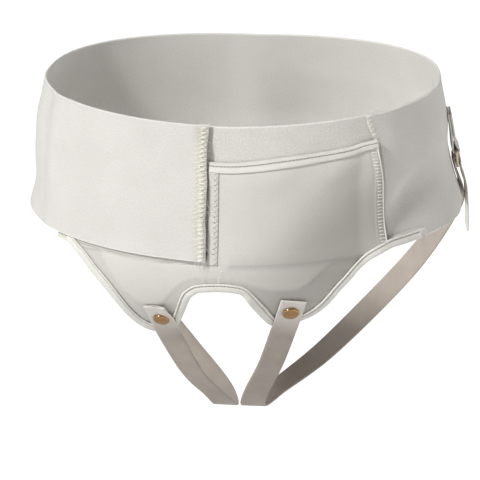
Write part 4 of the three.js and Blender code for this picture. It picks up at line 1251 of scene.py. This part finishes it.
# Adds short first and last steps so that a rounded end has points to follow
def withEnds(path, wides, thick):
    first = path[0] + unit(path[1] - path[0]) * np.array([[0.1], [0.45], [1.0]]) * thick / 2
    last = path[-1] + unit(path[-2] - path[-1]) * np.array([[1.0], [0.45], [0.1]]) * thick / 2
    path = np.concatenate([path[:1], first, path[1:-1], last, path[-1:]])
    wides = np.concatenate([np.repeat(wides[:1], 4, 0), wides[1:-1], np.repeat(wides[-1:], 4, 0)])
    return path, wides


def makeStraps():
    for word, side in (("Left", 1), ("Right", -1)):
        path, wides, _ = strapPath(side)
        path, wides = withEnds(path, wides, strap["thick"])
        slant, curl = strap["end"][side]
        body, length = webbing(path, wides, strap["width"], strap["thick"], slant, curl)
        # painted shade: the strap is darker away from its ends, where it tucks under
        fromEnd = np.minimum(body[2][:, 0], length - body[2][:, 0])
        piece = makePiece("legStrap" + word, *body, {"fresh": 1 - between(fromEnd, strap["fresh"])})
        finish(piece, strapWhite, "strap_white", "leg_strap_" + word.lower())


def makeTabs():
    doubled = innerLayer + strap["thick"] + clearance["hard"]
    for word, side in (("Left", 1), ("Right", -1)):
        high = np.linspace(adjuster["tab"], 0, 14)[:-1]
        sink = adjuster["tabSink"] * np.maximum(0, 2 * high / adjuster["tab"] - 1)
        inner = np.stack([high, innerLayer - sink], -1)
        wrap = np.array(wrapRows(0, False))
        up = np.linspace(0, adjuster["tab"], 16)[1:]
        rows = [(0, wrap[-1, 1]), (adjuster["bar"] * 3, doubled + 2 * clearance["hard"]),
                (adjuster["tab"] * 0.5, doubled), (adjuster["tab"], doubled - adjuster["tabSink"])]
        outer = np.stack([up, curveThrough(rows)(up)], -1)
        path = hipPoints(side, np.concatenate([inner, wrap, outer]))
        wides = np.repeat(hipPlace(side)[4][None], len(path), 0)
        path, wides = withEnds(path, wides, strap["thick"])
        body, length = webbing(path, wides, strap["width"], strap["thick"])
        # the tabs carry no painted shade
        piece = makePiece("hipTab" + word, *body, {"fresh": np.ones(len(body[0]))})
        finish(piece, strapWhite, "strap_white", "hip_tab_" + word.lower())


makeStraps()
makeTabs()
print("straps and tabs made")


# Bar of the slide: a rounded square section carried along a closed or open flat path
def barLoop(path, normal, half, closed):
    way = unit(np.roll(path, -1, 0) - np.roll(path, 1, 0)) if closed else unit(np.gradient(path, axis=0))
    side = np.cross(way, normal)
    turn = np.linspace(0, 2 * np.pi, 16, endpoint=False) + np.pi / 16
    c, s = np.cos(turn), np.sin(turn)
    x, y = np.sign(c) * np.abs(c) ** 0.6 * half, np.sign(s) * np.abs(s) ** 0.6 * half
    stations = path[:, None] + side[:, None] * x[None, :, None] + normal * y[None, :, None]
    flat = np.zeros((*stations.shape[:2], 2))
    if closed:
        index = ringIndex(*stations.shape[:2])
        quads = ringQuads(np.concatenate([index, index[:1]]))
        return stations.reshape(-1, 3), quads, flat.reshape(-1, 2)
    return loft(stations, flat)


def makeSlides():
    for word, side in (("Left", 1), ("Right", -1)):
        _, origin, rise, out, wide = hipPlace(side)
        halfWide = strap["width"] / 2 + 2 * clearance["hard"] + adjuster["bar"] / 2
        radius = adjuster["bar"]
        corners = [(halfWide, 0, 0), (-halfWide, 0, 90), (-halfWide, bottomBar, 180),
                   (halfWide, bottomBar, 270)]
        outline = []
        for x, y, start in corners:
            turn = np.radians(start + np.linspace(0, 90, 7))
            middle = np.array([x - radius * np.sign(x), y + (radius if y < 0 else -radius)])
            outline.append(middle + radius * np.stack([np.cos(turn), np.sin(turn)], -1))
        outline = np.concatenate(outline)
        place = lambda flat: origin + wide * flat[:, :1] + rise * flat[:, 1:] + out * barLift
        rim = barLoop(place(outline), out, adjuster["bar"] / 2, True)
        across = np.linspace(-halfWide + 0.6, halfWide - 0.6, 9)
        line = place(np.stack([across, 0 * across + middleBar], -1))
        bar = barLoop(line, out, adjuster["bar"] / 2 * 0.92, False)
        piece = makePiece("slide" + word, *joinBodies([rim, bar]))
        finish(piece, slideNickel, "nickel", "slide_" + word.lower())


# Surface of revolution about an axis: profile rows are radius and height, poles closed
def turned(profile, origin, axis, sides=64):
    helper = np.array([1.0, 0, 0]) if abs(axis[0]) < 0.8 else np.array([0, 1.0, 0])
    a = unit(np.cross(axis, helper))
    b = np.cross(axis, a)
    turn = np.arange(sides) * 2 * np.pi / sides
    ring = a * np.cos(turn)[:, None] + b * np.sin(turn)[:, None]
    inner = profile[1:-1]
    points = origin + ring[None] * inner[:, 0][:, None, None] + axis * inner[:, 1][:, None, None]
    index = ringIndex(len(inner), sides)
    poles = np.array([origin + axis * profile[0, 1], origin + axis * profile[-1, 1]])
    count = len(inner) * sides
    even = np.arange(0, sides, 2)
    second, third = even + 1, (even + 2) % sides
    first, last = index[0], index[-1]
    low = np.stack([np.full(len(even), count), first[third], first[second], first[even]], -1)
    high = np.stack([np.full(len(even), count + 1), last[even], last[second], last[third]], -1)
    points = np.concatenate([points.reshape(-1, 3), poles])
    return points, np.concatenate([ringQuads(index), low, high]), np.zeros((len(points), 2))


snap = {
    "radius": 6.5, "height": 2.8, "studRadius": 4,
    # share of the radius, share of the height: rolled rim and domed middle
    "cap": [(0, 0), (0.93, 0), (0.985, 0.04), (1, 0.12), (0.975, 0.34), (0.94, 0.52), (0.86, 0.68),
            (0.7, 0.82), (0.5, 0.92), (0.25, 0.98), (0, 1)],
    "stud": [(0, 1), (0.6, 1), (0.95, 0.9), (1, 0.6), (1, 0.25), (0.93, 0.02), (0.5, 0), (0, 0)],
}


def makeSnaps():
    for word, side in (("Left", 1), ("Right", -1)):
        path, wides, snapLength = strapPath(side)
        length = lengthsAlong(path)
        i = int(np.argmin(np.abs(length - snapLength)))
        out = webbingFrames(path, wides)[2][i]
        out = -out if out[1] > 0 else out
        rows = np.array(snap["cap"]) * (snap["radius"], snap["height"])
        seat = path[i] + out * (strap["thick"] / 2 + clearance["hard"])
        piece = makePiece("snapCap" + word, *turned(rows, seat, out))
        finish(piece, capNickel, "nickel", "snap_cap_" + word.lower())
        top = -strap["thick"] / 2 - clearance["cloth"]
        bottom = panelLift + front["thick"] + clearance["cloth"] - strapLift
        rows = np.array(snap["stud"]) * (snap["studRadius"], bottom - top)
        piece = makePiece("snapStud" + word, *turned(rows, path[i] + out * top, out, 40))
        finish(piece, slideNickel, "nickel", "snap_stud_" + word.lower())


makeSlides()
makeSnaps()
print("slides and snaps made")


# Stitches

stitching = {
    "fine": 0.34, "fray": 0.13, "margin": 1.2,
    # free end, back from its edge: bars (at, width, radius); zigzags (at, width, rise, share of fine)
    "endPeriod": 3.4, "endBars": (3, 4.4, 0.95), "endRows": [(3.6, 5.4, 0.5, 1), (7.6, 3.6, 0.12, 0.7)],
    "cornerFrays": 11, "cornerFray": (2, 5.5), "endFray": (1.2, 4),
    "endFrays": (12, 31, 38, 44, 47, 58, 67, 69, 71, 74, 83, 90),
    "overlock": (3.9, 4.8, 2.5, 0.47),       # from the pocket's right edge, width, period, radius
    "hem": (5.2, 3.6, 4, 0.4),               # from its left edge, width, period, rise
    "below": (2.4, 2.6, 0.05, 0.55),         # under the pocket: width, period, rise, share of fine
    "belowAt": (2.6, -1.4), "belowEnds": (2.5, 19),
    "roll": (0.7, 0.25, 0.75),               # from the pocket's right edge, sunk by, radius
    "seam": (1.9, 4.4, 3.6, 0.25),           # from the seam, width, period, rise
    "seamEnds": (1, 0.6),                    # below the pocket's mouth, below the band's edge
    "seamFrays": (-0.7, -0.2, 0.5, 0.9), "seamFray": (4, 8), "seamFrayRadius": 0.2,
    # bar of stitches: back from the tape's end, past its edges, lift at its ends and more in the middle
    "tackFrom": 5.5, "tackPast": 0.4, "tackLift": (0.35, 0.25), "tackBow": 0.18,
    "tackBars": 16, "tackPitch": 0.42, "tackRadius": 0.26, "tackFrays": 14, "tackFray": (1.5, 3.6),
    # unevenness of bars: width and radius from, to; share of the period; sunk ends
    "uneven": (0.85, 1.1), "wander": 0.06, "arch": (0.45, 1.1),
}


# Loose thread: a curve from a place, drifting from its first direction to a second one
def looseThread(start, first, second, length, radius):
    t = np.linspace(0, 1, 9)[:, None]
    curl = rng.normal(0, 0.12, (9, 3)) * t * length * 0.5
    path = start + (first * t + second * t * t) * length + curl
    return thread(path, np.broadcast_to([0.0, -1.0, 0.0], path.shape), radius, 5)


# Row of zigzag at a constant distance along the cloth
def zigzagRow(place, U, low, high, half, width, period, lift, radius, count=140):
    V = np.linspace(low, high, count)
    return zigzag(*surfaceLine(place, np.full(count, U), V, half), width, period, lift, radius)


# Bars of thread across a row, one every period, each a little out of line
def barRow(place, U, low, high, half, width, period, radius, lean=0.4):
    bodies = []
    t = np.linspace(-0.5, 0.5, 7)
    middle, fall = stitching["arch"]
    rise = radius * (middle - fall * np.abs(2 * t) ** 3)
    for V in np.arange(low, high, period):
        across = U + t * width * rng.uniform(*stitching["uneven"])
        up = V + t * lean + rng.normal(0, period * stitching["wander"])
        points, normal, _ = surfaceLine(place, across, up, half)
        thick = radius * rng.uniform(*stitching["uneven"])
        bodies.append(thread(points + normal * rise[:, None], normal, thick, 8))
    return bodies


def makeEndStitches():
    half, low = band["thick"] / 2, stitching["margin"]
    high, period = form["height"] - low, stitching["endPeriod"]
    at, width, radius = stitching["endBars"]
    bodies = barRow(bandPlace, freeEnd - at, low, high, half, width, period, radius)
    for at, width, rise, share in stitching["endRows"]:
        radius = stitching["fine"] * share
        bodies.append(zigzagRow(bandPlace, freeEnd - at, low, high, half, width, period, rise, radius))
    down, right = np.array([0.0, -0.05, -1.0]), np.array([0.9, -0.2, -0.3])
    for k in range(stitching["cornerFrays"]):
        start = bandPlace(np.array(freeEnd - 0.8 * k), np.array(0.3), np.array(half * rng.uniform(-1, 1)))
        bend, length = right * rng.uniform(-0.5, 0.5), rng.uniform(*stitching["cornerFray"])
        bodies.append(looseThread(start, down, bend, length, stitching["fray"]))
    for height in stitching["endFrays"]:
        start = bandPlace(np.array(freeEnd - 0.3), np.array(height + rng.uniform(-2, 2)), np.array(0.0))
        bend = np.array([0.1, -0.3, -0.9]) * rng.uniform(-0.6, 1)
        length = rng.uniform(*stitching["endFray"])
        bodies.append(looseThread(start, right, bend, length, stitching["fray"]))
    finish(makePiece("freeEndStitches", *joinBodies(bodies)), creamThread, "elastic_white")


def makePocketStitches():
    half, fine = front["thick"] / 2, stitching["fine"]
    left, right = -front["pocketLeft"], front["pocketRight"]
    at, width, period, radius = stitching["overlock"]
    top = -mouthUp(np.array(right)) + 4
    bodies = barRow(panelPlace, right - at, top, -1.5, half, width, period, radius)
    at, width, period, rise = stitching["hem"]
    top = -mouthUp(np.array(left + 4.0)) + 7
    bodies.append(zigzagRow(panelPlace, left + at, top, 0.4, half, width, period, rise, fine))
    # the line goes on down over the panel, where the second cloth is sewn behind it
    width, period, rise, share = stitching["below"]
    V = np.linspace(*stitching["belowEnds"], 40)
    line = surfaceLine(panelPlace, mix(*stitching["belowAt"], np.linspace(0, 1, 40)), V, half)
    bodies.append(zigzag(*line, width, period, rise, fine * share))
    finish(makePiece("pocketHemStitches", *joinBodies(bodies)), whiteThread, "cloth_white")


# Edge of the pocket's right hem, rolled over and whipped with thread
def makeHemRoll():
    at, sunk, radius = stitching["roll"]
    V = np.linspace(-mouthUp(np.array(front["pocketRight"] - 1.0)) + 1, -1, 70)
    U = np.full(70, front["pocketRight"] - at)
    points, normal, _ = surfaceLine(panelPlace, U, V, front["thick"] / 2)
    body = thread(points - normal * sunk, normal, radius, 10)
    finish(makePiece("pocketHemRoll", *body), whiteThread, "cloth_white")


def makeSeamStitches():
    half, top = band["thick"] / 2, form["height"]
    at, width, period, rise = stitching["seam"]
    below, short = stitching["seamEnds"]
    low = mouthUp(np.array(band["seamAt"] - 2.0)) - below
    bodies = [zigzagRow(bandPlace, band["seamAt"] + at, low, top - short, half, width, period, rise,
                        stitching["fine"], 60)]
    up = np.array([0.1, -0.2, 1.0])
    for k, lean in enumerate(stitching["seamFrays"]):
        start = bandPlace(np.array(band["seamAt"] + 1.2 * k), np.array(top - 0.4), np.array(0.0))
        bend, length = np.array([lean, -0.2, -0.1]), rng.uniform(*stitching["seamFray"])
        bodies.append(looseThread(start, up, bend, length, stitching["seamFrayRadius"]))
    finish(makePiece("seamStitches", *joinBodies(bodies)), creamThread, "elastic_white")


# Dense bar of stitches and frayed threads where the leg binding ends on the band
def makeBartack():
    end, past = front["bindingReach"], stitching["tackPast"]
    low, more = stitching["tackLift"]
    bodies = []
    for k in range(stitching["tackBars"]):
        U = end - stitching["tackFrom"] + stitching["tackPitch"] * k + rng.normal(0, 0.1)
        t = np.linspace(0, 1, 7)
        V = outlineDrop(np.array(U)) + mix(-past, -tape["width"] - past, t)
        U = U + stitching["tackBow"] * np.sin(t * 3 + k) + 0 * V
        lift = panelBase(U, V) + tapeOuter + low + more * np.sin(np.pi * t)
        points = clothPoint(U, V, lift)
        above = clothPoint(U, V, lift + 1)
        bodies.append(thread(points, unit(above - points), stitching["tackRadius"]))
    for k in range(stitching["tackFrays"]):
        U = np.array(end - rng.uniform(-0.5, 7))
        V = outlineDrop(U) - rng.uniform(0, tape["width"])
        start = clothPoint(U, V, panelBase(U, V) + tapeOuter * rng.uniform(0.5, 1.05))
        first = np.array([rng.uniform(0.1, 0.9), -0.5, rng.uniform(-0.5, 0.5)])
        length = rng.uniform(*stitching["tackFray"])
        bodies.append(looseThread(start, first, np.array([0.2, 0.3, -0.6]), length, stitching["fray"]))
    finish(makePiece("bindingBartack", *joinBodies(bodies)), whiteThread, "tape_white")


makeEndStitches()
makePocketStitches()
makeHemRoll()
makeSeamStitches()
makeBartack()
print("stitches made")


# Floor, light, camera

stage = {"floorDown": -0.85, "floorRadius": 60, "sky": 0.135, "farGlow": 0.56, "glow": (1.3, 2.3)}
# place it comes from, strength, spread in degrees, colour
lamps = {
    "key": ((-0.66, -0.75, 0.66), 2.4, 10, (1, 0.99, 0.975)),
    "fill": ((1.9, -0.7, 0.5), 0.19, 40, (1, 0.96, 0.91)),
    "side": ((1.6, 1.3, 0.5), 0.7, 30, (1, 0.97, 0.96)),
}


def makeStage():
    turn = np.linspace(0, 2 * np.pi, 65)[:-1]
    radius, down = stage["floorRadius"], stage["floorDown"]
    points = [(radius * math.cos(t), radius * math.sin(t), down) for t in turn]
    mesh = bpy.data.meshes.new("floor")
    mesh.from_pydata(points, [], [list(range(64))])
    floor = bpy.data.objects.new("floor", mesh)
    bpy.context.collection.objects.link(floor)
    material, tree, shader, place = startMaterial("floorWhite", 0.9, "Object")
    tones = twoTones(tree, place, (0.92, 0.92, 0.92), (0.94, 0.94, 0.94), 2.0)
    tree.links.new(tones, shader.inputs["Base Color"])
    away = addNode(tree, "ShaderNodeVectorMath", {0: place}, operation="LENGTH").outputs["Value"]
    low, high = stage["glow"]
    glow = addNode(tree, "ShaderNodeMapRange", {"Value": away, "From Min": low, "From Max": high,
                                                "To Min": 0.0, "To Max": stage["farGlow"]})
    shader.inputs["Emission Color"].default_value = (1, 1, 1, 1)
    tree.links.new(glow.outputs[0], shader.inputs["Emission Strength"])
    floor.data.materials.append(material)
    world = bpy.data.worlds.new("studio")
    world.use_nodes = True
    world.node_tree.nodes["Background"].inputs["Color"].default_value = (1, 0.97, 0.91, 1)
    world.node_tree.nodes["Background"].inputs["Strength"].default_value = stage["sky"]
    bpy.context.scene.world = world


# Broad lamp far off
def addLamp(name, place, power, spread, color):
    light = bpy.data.lights.new(name, "SUN")
    light.energy = power
    light.angle = math.radians(spread)
    light.color = color
    holder = bpy.data.objects.new(name, light)
    holder.rotation_euler = (-Vector(place)).to_track_quat("-Z", "Y").to_euler()
    bpy.context.collection.objects.link(holder)


view = {
    "azimuth": 8, "elevation": 6, "roll": 0.84, "distance": 2.0, "lens": 188.55,
    "aim": (-0.0007, -0.0803),               # metres to the right of the origin and up from it
}


def makeCamera():
    az, el = math.radians(view["azimuth"]), math.radians(view["elevation"])
    back = Vector((math.sin(az) * math.cos(el), -math.cos(az) * math.cos(el), math.sin(el)))
    right = Vector((math.cos(az), math.sin(az), 0))
    up = back.cross(right)
    target = right * view["aim"][0] + up * view["aim"][1]
    data = bpy.data.cameras.new("camera")
    data.sensor_width = 36
    data.lens = view["lens"]
    camera = bpy.data.objects.new("camera", data)
    camera.location = back * view["distance"]
    turn = (target - camera.location).to_track_quat("-Z", "Y")
    roll = Matrix.Rotation(math.radians(view["roll"]), 3, "Z")
    camera.rotation_euler = (turn.to_matrix() @ roll).to_euler()
    bpy.context.collection.objects.link(camera)
    bpy.context.scene.camera = camera


makeStage()
for name, look in lamps.items():
    addLamp(name, *look)
makeCamera()
bpy.context.scene.view_settings.view_transform = "Standard"
print("stage, light and camera made")
